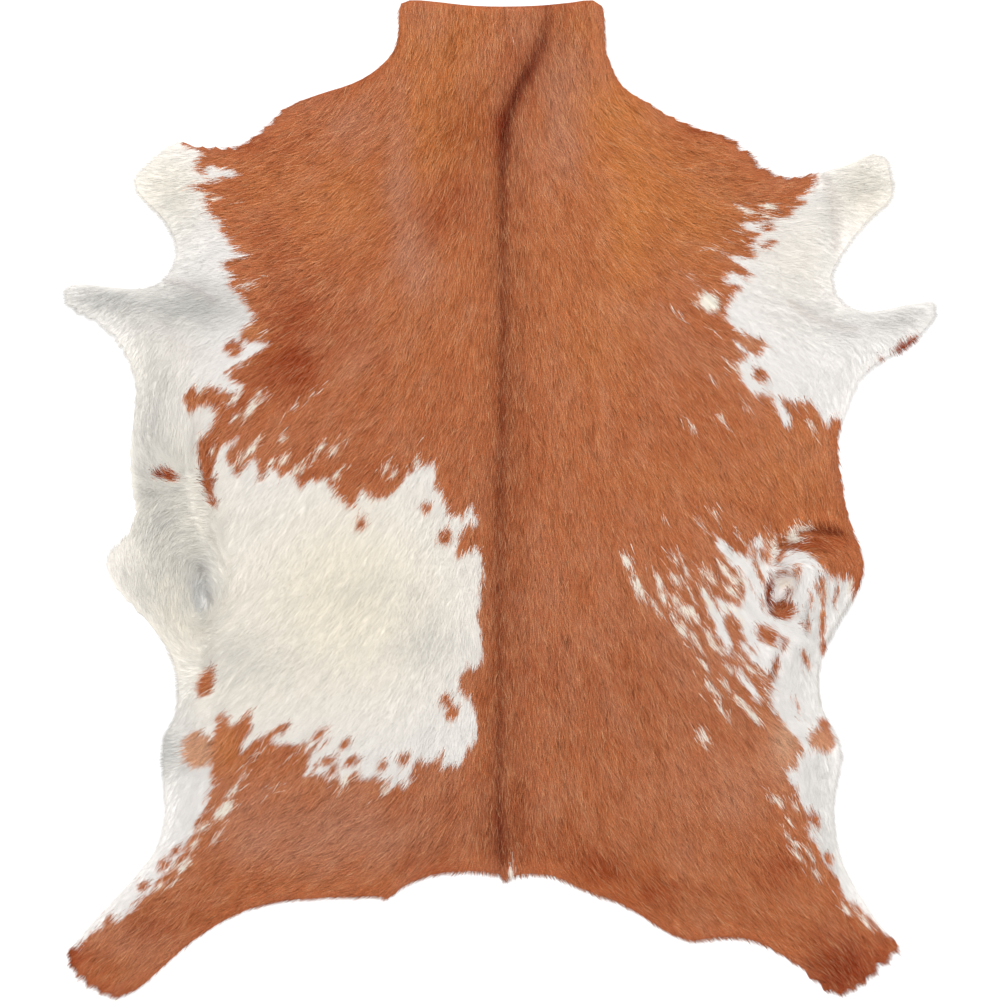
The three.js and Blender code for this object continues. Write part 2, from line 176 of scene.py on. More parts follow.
# Which way the hair lies, from the neck to the feet
GUIDES = (
    Guide(-5, 440, 0), Guide(-70, 430, -6), Guide(70, 430, 8), Guide(-84, 395, -16), Guide(86, 395, 16),
    Guide(-50, 370, -14), Guide(54, 370, 14), Guide(-110, 365, -40), Guide(0, 360, 0),
    Guide(122, 352, 48), Guide(-180, 330, -62), Guide(-120, 320, -52), Guide(-60, 320, -26),
    Guide(60, 320, 24), Guide(120, 315, 54), Guide(180, 315, 74), Guide(-215, 310, -68),
    Guide(0, 300, 0),
    Guide(-262, 298, -82), Guide(325, 292, 96), Guide(-310, 290, -98), Guide(235, 290, 92),
    Guide(275, 278, 98), Guide(-300, 262, -70), Guide(-120, 250, -50), Guide(120, 245, 46),
    Guide(-185, 240, -68), Guide(-60, 240, -26), Guide(60, 240, 22), Guide(310, 240, 62),
    Guide(190, 235, 68), Guide(-245, 230, -80), Guide(245, 225, 78), Guide(0, 220, 0),
    Guide(255, 185, 66), Guide(-370, 182, -84), Guide(-250, 180, -78), Guide(-300, 178, -84),
    Guide(386, 166, 90), Guide(-200, 165, -58), Guide(200, 165, 50), Guide(-130, 160, -42),
    Guide(130, 160, 36), Guide(300, 160, 80), Guide(-345, 158, -58), Guide(350, 158, 88),
    Guide(-60, 150, -22), Guide(60, 150, 14), Guide(362, 140, 20), Guide(-240, 125, -52),
    Guide(335, 122, 10), Guide(-300, 120, -24), Guide(0, 120, 0), Guide(245, 120, 42),
    Guide(290, 100, 26), Guide(-318, 80, -6), Guide(-250, 72, -46), Guide(-200, 70, -44),
    Guide(-130, 70, -40), Guide(130, 70, 28), Guide(200, 70, 32), Guide(-290, 62, 4),
    Guide(-60, 60, -22),
    Guide(60, 60, 12), Guide(250, 50, 26), Guide(-275, 44, -10), Guide(-316, 40, 22), Guide(292, 40, 12),
    Guide(-307, 35, 40), Guide(-251, 26, -34), Guide(-319, 22, 60), Guide(-284, 18, 85),
    Guide(-226, 17, -40), Guide(-307, 13, 70), Guide(-298, 1, 108), Guide(-268, 0, 60), Guide(0, 0, 0),
    Guide(-284, -1, 96), Guide(-316, -6, 140), Guide(-251, -6, -36), Guide(288, -8, 12),
    Guide(-200, -10, -40), Guide(-130, -10, -38), Guide(-60, -10, -24), Guide(60, -10, 10),
    Guide(130, -10, 22), Guide(200, -10, 28), Guide(-300, -12, 115), Guide(283, -15, 10),
    Guide(303, -15, 8), Guide(-310, -18, 140), Guide(-287, -18, 100), Guide(245, -18, 28),
    Guide(260, -19, 16), Guide(-273, -21, 90), Guide(-321, -24, 158), Guide(-265, -24, 60),
    Guide(-296, -28, 118), Guide(-242, -28, -40), Guide(278, -28, 60), Guide(-284, -30, 106),
    Guide(294, -31, 70), Guide(-307, -33, 140), Guide(-271, -36, 92), Guide(220, -37, 24),
    Guide(269, -38, 100), Guide(-291, -41, 128), Guide(283, -41, 80), Guide(-316, -42, 165),
    Guide(-260, -42, 40), Guide(-280, -43, 108), Guide(202, -45, 38), Guide(266, -45, 90),
    Guide(296, -45, 55), Guide(-271, -46, 85), Guide(235, -46, 16), Guide(-300, -48, 150),
    Guide(256, -49, 128), Guide(310, -51, 35), Guide(-263, -52, 62), Guide(-255, -52, 20),
    Guide(250, -54, 150), Guide(-334, -55, 196), Guide(-235, -55, -44), Guide(190, -55, 32),
    Guide(-258, -59, 48), Guide(289, -61, 14), Guide(-266, -63, 70), Guide(303, -63, 6),
    Guide(320, -63, 0), Guide(-253, -66, 36), Guide(-316, -69, 182), Guide(-242, -69, -34),
    Guide(220, -69, 32), Guide(229, -69, 28), Guide(243, -69, 30), Guide(268, -69, -4),
    Guide(-275, -72, 178), Guide(-289, -73, 179), Guide(-257, -73, 15), Guide(-302, -78, 181),
    Guide(-325, -82, 202), Guide(-264, -82, 20), Guide(-251, -82, -22), Guide(240, -82, 8),
    Guide(312, -82, -14), Guide(230, -87, 24), Guide(-269, -88, 180), Guide(-200, -90, -44),
    Guide(-130, -90, -36), Guide(-60, -90, -22), Guide(60, -90, 10), Guide(130, -90, 20),
    Guide(-239, -91, -55), Guide(179, -91, 30), Guide(235, -91, 22), Guide(269, -91, -1),
    Guide(-259, -93, -10), Guide(-280, -96, 180), Guide(303, -96, 6), Guide(-311, -100, 200),
    Guide(0, -100, 0), Guide(274, -100, -3), Guide(289, -100, -2), Guide(-251, -102, -62),
    Guide(263, -102, 125), Guide(249, -104, 62), Guide(-296, -105, 190), Guide(222, -105, 34),
    Guide(256, -108, 92), Guide(217, -114, 34), Guide(240, -117, 52), Guide(-260, -118, -66),
    Guide(-230, -118, -62), Guide(249, -124, 66), Guide(-302, -127, 212), Guide(-284, -127, 200),
    Guide(-271, -127, 196), Guide(206, -127, 32), Guide(238, -127, 62), Guide(258, -127, 40),
    Guide(-248, -132, -60), Guide(226, -132, 40), Guide(249, -136, -8), Guide(269, -136, 0),
    Guide(-260, -141, -30), Guide(282, -141, 4), Guide(-271, -145, 236), Guide(-236, -160, -46),
    Guide(272, -165, 18), Guide(240, -168, 50), Guide(224, -172, 40), Guide(260, -172, 8),
    Guide(-280, -180, -20), Guide(-200, -180, -44), Guide(-130, -180, -40), Guide(-60, -180, -22),
    Guide(60, -180, 10), Guide(130, -180, 22), Guide(200, -180, 30), Guide(236, -180, 34),
    Guide(0, -190, 0), Guide(266, -208, 52), Guide(-266, -212, -52), Guide(298, -212, 48),
    Guide(-238, -214, -34), Guide(-292, -222, -84), Guide(284, -226, 10), Guide(244, -236, 34),
    Guide(-210, -240, -42), Guide(-130, -240, -44), Guide(-60, -240, -24), Guide(60, -240, 10),
    Guide(130, -240, 22), Guide(200, -240, 30), Guide(-268, -246, -46), Guide(0, -260, 0),
    Guide(286, -262, 16), Guide(-290, -270, -30), Guide(-250, -300, -46), Guide(-190, -300, -56),
    Guide(-120, -300, -56), Guide(-60, -300, -34), Guide(-290, -310, -44), Guide(60, -310, 16),
    Guide(120, -310, 28), Guide(190, -310, 32), Guide(250, -310, 34), Guide(288, -310, 24),
    Guide(0, -320, 2), Guide(-60, -332, -46), Guide(60, -336, 34), Guide(-220, -345, -60),
    Guide(-150, -345, -66), Guide(-330, -350, -46), Guide(300, -350, 34), Guide(-280, -360, -50),
    Guide(130, -360, 44), Guide(200, -380, 46), Guide(260, -380, 46), Guide(330, -380, 38),
    Guide(-360, -400, -46), Guide(345, -405, 44), Guide(-320, -410, -48), Guide(285, -415, 44),
    Guide(-375, -425, -42), Guide(315, -425, 30),
    Guide(-285, -141, 236), Guide(-298, -138, 240), Guide(-292, -153, 268), Guide(-280, -153, 262),
    Guide(-268, -156, 282), Guide(-289, -167, -68), Guide(-276, -167, -66), Guide(-266, -171, -60),
    Guide(-352, 159, -34), Guide(-334, 137, -28), Guide(-365, 168, -58), Guide(-331, 114, -12),
    Guide(341, 124, 24), Guide(364, 135, 36), Guide(323, 107, 20), Guide(316, 89, 14),
    Guide(375, 144, 48), Guide(-350, -91, 206), Guide(-345, -69, 200),
)

WHORLS = (
    Whorl(254, -81, 11, 22, -0.35),
)

# Finer creases than the solid's, in the middle of its troughs and beside them
CREASES = (
    Crease(41, 424, 5, 300, -9, 4.5, -0.9, 0.12),
    Crease(52, 420, 18, 318, -11, 6, 0.9),
    Crease(3, 300, 0, -330, 2, 4, -0.5, 0.12),
    Crease(-273, 70, -250, -58, -7, 3.2, -1.1, 0.1),
    Crease(-281, 66, -261, -50, -7, 5, 1.1),
    Crease(-262, -88, -264, -168, 5, 4, -0.8, 0.1),
    Crease(252, -42, 310, -32, 12, 3.4, -1.2, 0.3),
    Crease(255, -28, 306, -22, 9, 6, 1.0),
    Crease(247, -66, 247, -100, -3, 3, -0.9, 0.4),
    Crease(258, -64, 254, -90, 0, 8, -0.5, 0.9),
    Crease(292, 290, 301, 226, 5, 4, -0.8, 0.25),
    Crease(262, 176, 320, 152, -5, 4, -0.8, 0.3),
    Crease(-298, 196, -258, 178, 3, 4, -0.7, 0.3),
    Crease(-300, 152, -262, 128, -6, 8, -0.5, 0.12),
    Crease(254, -128, 244, -190, -4, 4, -0.7, 0.3),
)

# Thin shadows where the coat folds or parts, and along the rim where it turns down
FOLDS = (
    Fold(-271, 49, -270, 33, 2, 0.3), Fold(-270, 33, -264, 3, 2, 0.45),
    Fold(-259, -28, -254, -42, 2.3, 0.28), Fold(-254, -42, -247, -61, 2.2, 0.22),
    Fold(-247, -61, -242, -73, 2.2, 0.1), Fold(-268, -61, -266, -72, 4.5, 0.4),
    Fold(-266, -72, -264, -81, 3.6, 0.35), Fold(-264, -81, -259, -93, 2.7, 0.25),
    Fold(-268, -102, -266, -120, 2.7, 0.18), Fold(-266, -120, -266, -149, 2.2, 0.2),
    Fold(-310, 25, -302, 22, 2.2, 0.5), Fold(-302, 22, -288, 20, 1.8, 0.4),
    Fold(270, -29, 283, -28, 3.1, 0.5), Fold(283, -28, 307, -30, 4.5, 0.6),
    Fold(254, -41, 269, -38, 2.7, 0.4), Fold(247, -73, 242, -82, 2.7, 0.65),
    Fold(242, -82, 240, -91, 3.1, 0.7), Fold(240, -91, 243, -99, 2.7, 0.65),
    Fold(243, -99, 248, -107, 2.2, 0.4), Fold(248, -57, 256, -59, 1.6, 0.5),
    Fold(256, -59, 265, -71, 1.6, 0.4), Fold(246, -69, 253, -66, 5.4, 0.35),
    Fold(275, -96, 274, -123, 2.2, 0.35), Fold(294, 287, 301, 224, 5.4, 0.1),
    Fold(265, 174, 314, 156, 5.4, 0.08), Fold(41, 429, 40, 414, 8.1, 0.12),
    Fold(40, 414, 33, 397, 10.8, 0.34), Fold(33, 397, 22, 379, 11.7, 0.4),
    Fold(22, 379, 12, 361, 11.7, 0.42), Fold(12, 361, 5, 343, 10.8, 0.48),
    Fold(5, 343, 3, 323, 9.9, 0.52),
    Fold(3, 323, 1, 303, 8.1, 0.42), Fold(1, 303, 0, 269, 7.2, 0.24), Fold(0, 269, 0, 215, 6.3, 0.16),
    Fold(0, 255, -1, -325, 4.5, 0.1),
    Fold(321, -82, 310, -99, 4, 0.5), Fold(310, -99, 303, -111, 3.6, 0.5),
    Fold(303, -111, 294, -127, 3.2, 0.5), Fold(294, -127, 288, -142, 2.9, 0.4),
    Fold(286, -147, 285, -165, 2.3, 0.45), Fold(285, -165, 287, -181, 2.3, 0.45),
    Fold(287, -181, 292, -194, 2.7, 0.45), Fold(292, -194, 300, -208, 2.7, 0.4),
    Fold(300, -208, 306, -223, 3.1, 0.4), Fold(306, -223, 306, -234, 3.1, 0.45),
    Fold(306, -234, 302, -253, 2.3, 0.3), Fold(302, -253, 300, -282, 2, 0.25),
    Fold(300, -282, 302, -298, 1.8, 0.18), Fold(302, -298, 314, -333, 1.8, 0.15),
    Fold(-328, 8, -326, -6, 2.7, 0.3), Fold(-326, -6, -327, -19, 2.7, 0.25),
    Fold(-343, -81, -325, -100, 2.7, 0.25), Fold(-325, -100, -311, -118, 2.7, 0.32),
    Fold(-311, -118, -302, -135, 2.7, 0.35), Fold(-302, -135, -295, -149, 2.3, 0.3),
    Fold(-295, -149, -292, -172, 2.2, 0.25), Fold(-292, -172, -296, -192, 2.2, 0.25),
    Fold(-300, -201, -305, -216, 3.1, 0.4), Fold(-305, -216, -306, -231, 3.6, 0.5),
    Fold(-306, -231, -303, -248, 3.2, 0.45), Fold(-303, -248, -302, -271, 2.2, 0.2),
    Fold(-325, 24, -326, 9, 2.2, 0.2), Fold(353, 132, 374, 143, 2.7, 0.4),
    Fold(325, -37, 325, -55, 2.2, 0.3), Fold(295, -334, 300, -342, 1.8, 0.5),
    Fold(311, -333, 319, -343, 1.8, 0.1), Fold(87, 431, 92, 399, 2.2, 0.3),
    Fold(92, 399, 105, 372, 2.2, 0.3), Fold(-88, 422, -93, 404, 2.2, 0.3),
    Fold(-93, 404, -109, 381, 2.2, 0.2),
)

# The rims of the white patches. A rim runs on outside the hide where the white
# reaches the edge.
WHITE_PATCHES = {
    "left flank, belly and hind leg": (
        (-280, 341), (-280, 323), (-275, 314), (-271, 309), (-274, 305), (-274, 299), (-272, 294),
        (-267, 291), (-265, 297), (-259, 298), (-251, 297), (-243, 295), (-235, 290), (-243, 288),
        (-251, 288), (-259, 286), (-266, 285), (-271, 285), (-277, 282), (-282, 280), (-278, 277),
        (-274, 276), (-269, 279), (-265, 276), (-266, 272), (-267, 269), (-264, 264), (-262, 259),
        (-258, 253), (-254, 249), (-249, 245), (-251, 241), (-248, 235), (-243, 233), (-244, 227),
        (-240, 224), (-235, 221), (-229, 219), (-233, 216), (-240, 216), (-246, 214), (-248, 209),
        (-244, 204), (-244, 198), (-242, 192), (-238, 187), (-233, 181), (-226, 171), (-221, 166),
        (-225, 160), (-231, 154), (-233, 150), (-234, 144), (-226, 142), (-219, 142), (-212, 138),
        (-217, 134), (-225, 128), (-232, 124), (-239, 119), (-245, 116), (-245, 110), (-243, 106),
        (-237, 104), (-232, 101), (-234, 97), (-240, 92), (-244, 95), (-248, 99), (-252, 97), (-258, 99),
        (-264, 99), (-268, 97), (-273, 93), (-274, 101), (-280, 99), (-285, 91), (-284, 84), (-279, 78),
        (-274, 81), (-267, 82), (-261, 83), (-258, 79), (-256, 74), (-259, 67), (-262, 61), (-266, 55),
        (-271, 50), (-272, 43), (-271, 34), (-268, 23), (-266, 13), (-263, 2), (-261, 4), (-260, 13),
        (-258, 24), (-256, 31), (-253, 39), (-251, 46), (-244, 51), (-235, 55), (-238, 49), (-243, 44),
        (-246, 37), (-245, 31), (-238, 24), (-235, 18), (-231, 23), (-229, 29), (-224, 35), (-219, 32),
        (-217, 18), (-215, 17), (-211, 24), (-207, 28), (-202, 25), (-198, 19), (-194, 23), (-188, 22),
        (-184, 16), (-178, 6), (-174, 11), (-169, 16), (-163, 18), (-157, 16), (-151, 11), (-147, 1),
        (-133, -6), (-123, 9), (-118, -2), (-103, 2), (-92, 11), (-86, 21), (-78, 27), (-61, 32),
        (-58, 13), (-52, 0), (-46, -16), (-34, -17), (-26, -7), (-19, -23), (-31, -24), (-37, -38),
        (-40, -53), (-29, -49), (-19, -45), (-18, -62), (-15, -80), (-18, -97), (-20, -106), (-15, -117),
        (-18, -131), (-14, -143), (-21, -156), (-31, -149), (-38, -163), (-36, -175), (-27, -180),
        (-26, -188), (-24, -196), (-20, -201), (-20, -213), (-23, -219), (-29, -225), (-32, -231),
        (-36, -241), (-40, -239), (-43, -237), (-47, -241), (-51, -244), (-53, -238), (-52, -229),
        (-58, -233), (-62, -235), (-65, -240), (-69, -236), (-75, -235), (-79, -237), (-78, -243),
        (-81, -250), (-84, -256), (-87, -261), (-91, -256), (-96, -257), (-102, -261), (-105, -261),
        (-104, -253), (-110, -254), (-112, -250), (-118, -252), (-124, -253), (-126, -245), (-131, -246),
        (-136, -251), (-140, -258), (-142, -253), (-147, -251), (-155, -251), (-161, -248), (-169, -249),
        (-176, -249), (-173, -242), (-171, -235), (-172, -229), (-173, -223), (-176, -219), (-180, -221),
        (-184, -222), (-190, -221), (-195, -222), (-201, -219), (-204, -218), (-206, -215), (-201, -212),
        (-195, -210), (-192, -207), (-190, -202), (-195, -203), (-202, -206), (-206, -209), (-210, -213),
        (-215, -216), (-220, -218), (-226, -223), (-232, -227), (-234, -222), (-231, -216), (-228, -211),
        (-222, -207), (-224, -201), (-226, -189), (-230, -192), (-235, -197), (-240, -202), (-244, -206),
        (-245, -197), (-248, -192), (-253, -193), (-256, -199), (-258, -208), (-259, -216), (-259, -225),
        (-260, -233), (-259, -240), (-257, -249), (-259, -257), (-263, -264), (-266, -272), (-268, -281),
        (-273, -287), (-276, -294), (-277, -300), (-282, -306), (-285, -313), (-288, -318), (-292, -325),
        (-298, -333), (-304, -340), (-310, -346), (-315, -352), (-322, -360), (-329, -366), (-337, -372),
        (-344, -377), (-353, -380), (-362, -387), (-370, -394), (-379, -400), (-384, -402), (-440, -400),
        (-440, 330),
    ),
    "right shoulder and foreleg": (
        (284, 332), (284, 300), (285, 287), (281, 281), (280, 277), (274, 273), (268, 270), (274, 269),
        (273, 265), (265, 262), (261, 259), (262, 254), (255, 252), (244, 251), (233, 249), (224, 248),
        (219, 244), (224, 241), (230, 240), (236, 236), (229, 233), (226, 227), (228, 222), (230, 217),
        (224, 216), (216, 216), (208, 216), (213, 212), (220, 207), (226, 201), (222, 198), (216, 202),
        (211, 206), (205, 204), (203, 198), (201, 195), (206, 191), (212, 192), (216, 189), (211, 186),
        (207, 181), (205, 175), (202, 168), (204, 161), (209, 156), (214, 152), (221, 147), (229, 144),
        (234, 142), (238, 137), (235, 132), (230, 129), (224, 132), (218, 135), (212, 139), (216, 134),
        (222, 128), (218, 124), (214, 118), (216, 110), (220, 101), (226, 94), (233, 91), (239, 94),
        (245, 90), (247, 83), (249, 76), (252, 69), (256, 63), (261, 66), (260, 75), (256, 82), (252, 89),
        (257, 90), (262, 86), (265, 81), (267, 89), (271, 86), (275, 89), (279, 87), (284, 81), (287, 74),
        (292, 67), (297, 71), (302, 73), (307, 67), (314, 61), (340, 60), (440, 60), (440, 345),
    ),
    "right flank and hind leg": (
        (196, -37), (199, -38), (202, -43), (208, -46), (213, -49), (219, -50), (222, -52), (222, -45),
        (224, -42), (227, -37), (230, -40), (231, -35), (235, -38), (237, -47), (238, -56), (241, -59),
        (243, -55), (245, -47), (246, -38), (247, -33), (248, -42), (248, -53), (252, -54), (256, -49),
        (261, -45), (266, -44), (272, -45), (277, -50), (283, -55), (287, -61), (292, -66), (295, -71),
        (298, -72), (303, -70), (307, -73), (311, -72), (310, -82), (313, -84), (316, -82), (314, -91),
        (337, -91), (323, -136), (310, -163), (314, -199), (341, -235), (341, -316), (353, -394),
        (340, -388), (320, -365), (308, -359), (306, -344), (302, -339), (295, -331), (290, -322),
        (285, -315), (281, -308), (277, -302), (279, -297), (276, -289), (273, -281), (270, -274),
        (267, -267), (264, -260), (260, -252), (258, -245), (261, -241), (265, -245), (267, -240),
        (268, -234), (271, -229), (273, -224), (270, -218), (268, -215), (263, -211), (260, -207),
        (256, -200), (252, -196), (247, -192), (244, -192), (242, -181), (242, -172), (246, -160),
        (240, -156), (235, -153), (230, -149), (224, -143), (217, -136), (212, -129), (217, -129),
        (218, -120), (216, -113), (212, -108), (207, -105), (202, -102), (201, -109), (202, -118),
        (207, -129), (212, -138), (209, -141), (204, -136), (200, -128), (195, -118), (191, -108),
        (186, -97), (181, -86), (182, -82), (187, -86), (192, -90), (198, -89), (204, -91), (212, -93),
        (217, -94), (219, -88), (218, -81), (221, -75), (217, -68), (211, -62), (205, -57), (201, -51),
        (197, -45),
    ),
    "right flank, under the whorl": (
        (213, -152), (217, -153), (221, -159), (227, -164), (232, -170), (235, -178), (233, -184),
        (227, -180), (220, -171), (216, -162),
    ),
}

BROWN_SPOTS = (
    Mark(-265, -165, 30, 13, -20), Mark(-239, 135, 17, 14.5), Mark(-125, -23, 14, 9),
    Mark(-67, -9, 12, 10),
    Mark(-50, -35, 16, 13), Mark(-49, -182, 14, 10), Mark(-43, -192, 16, 10), Mark(-321, -348, 13, 8),
    Mark(-352, -378, 12, 6), Mark(282, -287, 18, 8), Mark(295, -322, 14, 7), Mark(266, -186, 10, 3),
    Mark(-299, 22, 26, 8, 76), Mark(242, -83, 30.6, 6.3, -6), Mark(266, -66, 11.7, 5.4, 0, 0.35),
    Mark(262, -81, 10.8, 3.6, -55, 0.3), Mark(256, -66, 14.4, 2.7, 70, 0.5),
    Mark(240, -121, 23.4, 13.5, 68), Mark(255, -129, 15.3, 4.5, -12), Mark(247, -151, 18, 4.5, -10),
    Mark(274, -144, 19.8, 4.5, 18), Mark(275, -113, 21.6, 2.2, -4, 0.3), Mark(289, -84, 30.6, 8.1, 0),
    Mark(289, -104, 19.8, 4.5, 0), Mark(289, -117, 23.4, 4.5, 0), Mark(290, -133, 19.8, 7.2, 8),
    Mark(283, -78, 14.4, 2.7, 0, 0.3), Mark(190, -88, 9, 5.4, 25), Mark(210, -113, 14.4, 6.3, 22),
    Mark(211, -124, 19.8, 6.3, 24), Mark(220, -127, 23.4, 1.8, 35), Mark(226, -135, 16.2, 1.8, 38),
    Mark(216, -122, 18, 2.2, 32), Mark(235, -70, 16.2, 3.6, 28, 0.2), Mark(230, -60, 14.4, 3.6, 28, 0.2),
    Mark(236, -95, 12.6, 2.2, 22, 0.3), Mark(228, -48, 12.6, 4.5, 15, 0.3),
    Mark(235, -49, 14.4, 3.6, 12, 0.2), Mark(302, -82, 9, 1.8, 0, 0.2), Mark(279, -91, 18, 1.8, 4, 0.4),
    Mark(299, -91, 14.4, 1.4, 4, 0.4), Mark(-258, 0, 15.3, 5.4, 4), Mark(-163, -211, 18.9, 7.2, -42),
    Mark(-141, -220, 14.4, 7.2, -50), Mark(-134, -235, 18.9, 9, -62), Mark(-155, -235, 16.2, 8.1, -78),
    Mark(-151, -243, 16.2, 5.4, -30), Mark(-106, -240, 12.6, 7.2, -12), Mark(-87, -234, 15.3, 11.7, -10),
    Mark(241, 244, 14.4, 7.2, 80), Mark(242, 229, 16.2, 5.4, 112), Mark(234, 111, 18, 10.8, 35),
    Mark(289, -216, 25.2, 23.4, 20, 0.6), Mark(291, -203, 15.3, 10.8, 25, 0.1),
    Mark(-272, -225, 30.6, 32.4, -70, 0.9), Mark(-282, 318, 14.4, 3.6, 62),
    Mark(-292, -316, 12.6, 5.4, -40), Mark(-302, -329, 15.3, 8.1, -40), Mark(254, -99, 25.2, 17.1, -92),
    Mark(364, 137, 29.7, 8.1, 125), Mark(341, 124, 16.2, 3.6, 125, 0, 1.4),
    Mark(268, -65, 18, 4.5, -4, 0.1),
    Mark(255, -60, 18, 2.3, 78, 0, 0.2), Mark(265, -67, 16.2, 2.2, 28, 0, 0.2),
    Mark(250, -73, 12.6, 2.7, -20, 0.3, 0.4), Mark(259, -86, 12.6, 1.8, 70, 0.2, 0.6),
    Mark(219, -69, 16.2, 2.7, 32, 0, 0.6), Mark(226, -78, 12.6, 1.8, 30, 0, 0.8),
    Mark(195, -97, 10.8, 2.7, 28, 0, 0.4), Mark(238, -79, 10.8, 1.8, -10, 0, 0.8),
    Mark(303, -135, 9, 1.8, 20, 0, 0.4),
    Mark(-169, -225, 32.4, 2.2, -40, 0, 0.2), Mark(-153, -233, 16.2, 3.6, -75, 0, 0.4),
    Mark(-147, -246, 12.6, 1.8, -35, 0, 0.5), Mark(-166, -238, 12.6, 1.8, -38, 0, 0.4),
    Mark(-134, -249, 14.4, 1.8, -35, 0, 0.6), Mark(-158, -219, 18, 1.8, -40, 0, 0.5),
    Mark(238, -127, 23.4, 4.5, 62, 0, 0.4), Mark(-124, -18, 10.8, 1.8, -20, 0, 0.4),
    Mark(-49, -28, 14.4, 1.8, -25, 0, 0.5),
    Mark(-168, -244, 23.4, 2.7, -38, 0, 0.3), Mark(-157, -248, 19.8, 2.2, -38, 0, 0.4),
    Mark(-103, -259, 16.2, 4.5, -30), Mark(-93, -260, 14.4, 3.6, -40), Mark(-142, -260, 12.6, 2.7, -40),
    Mark(-260, 8, 23.4, 4.5, 2),
)

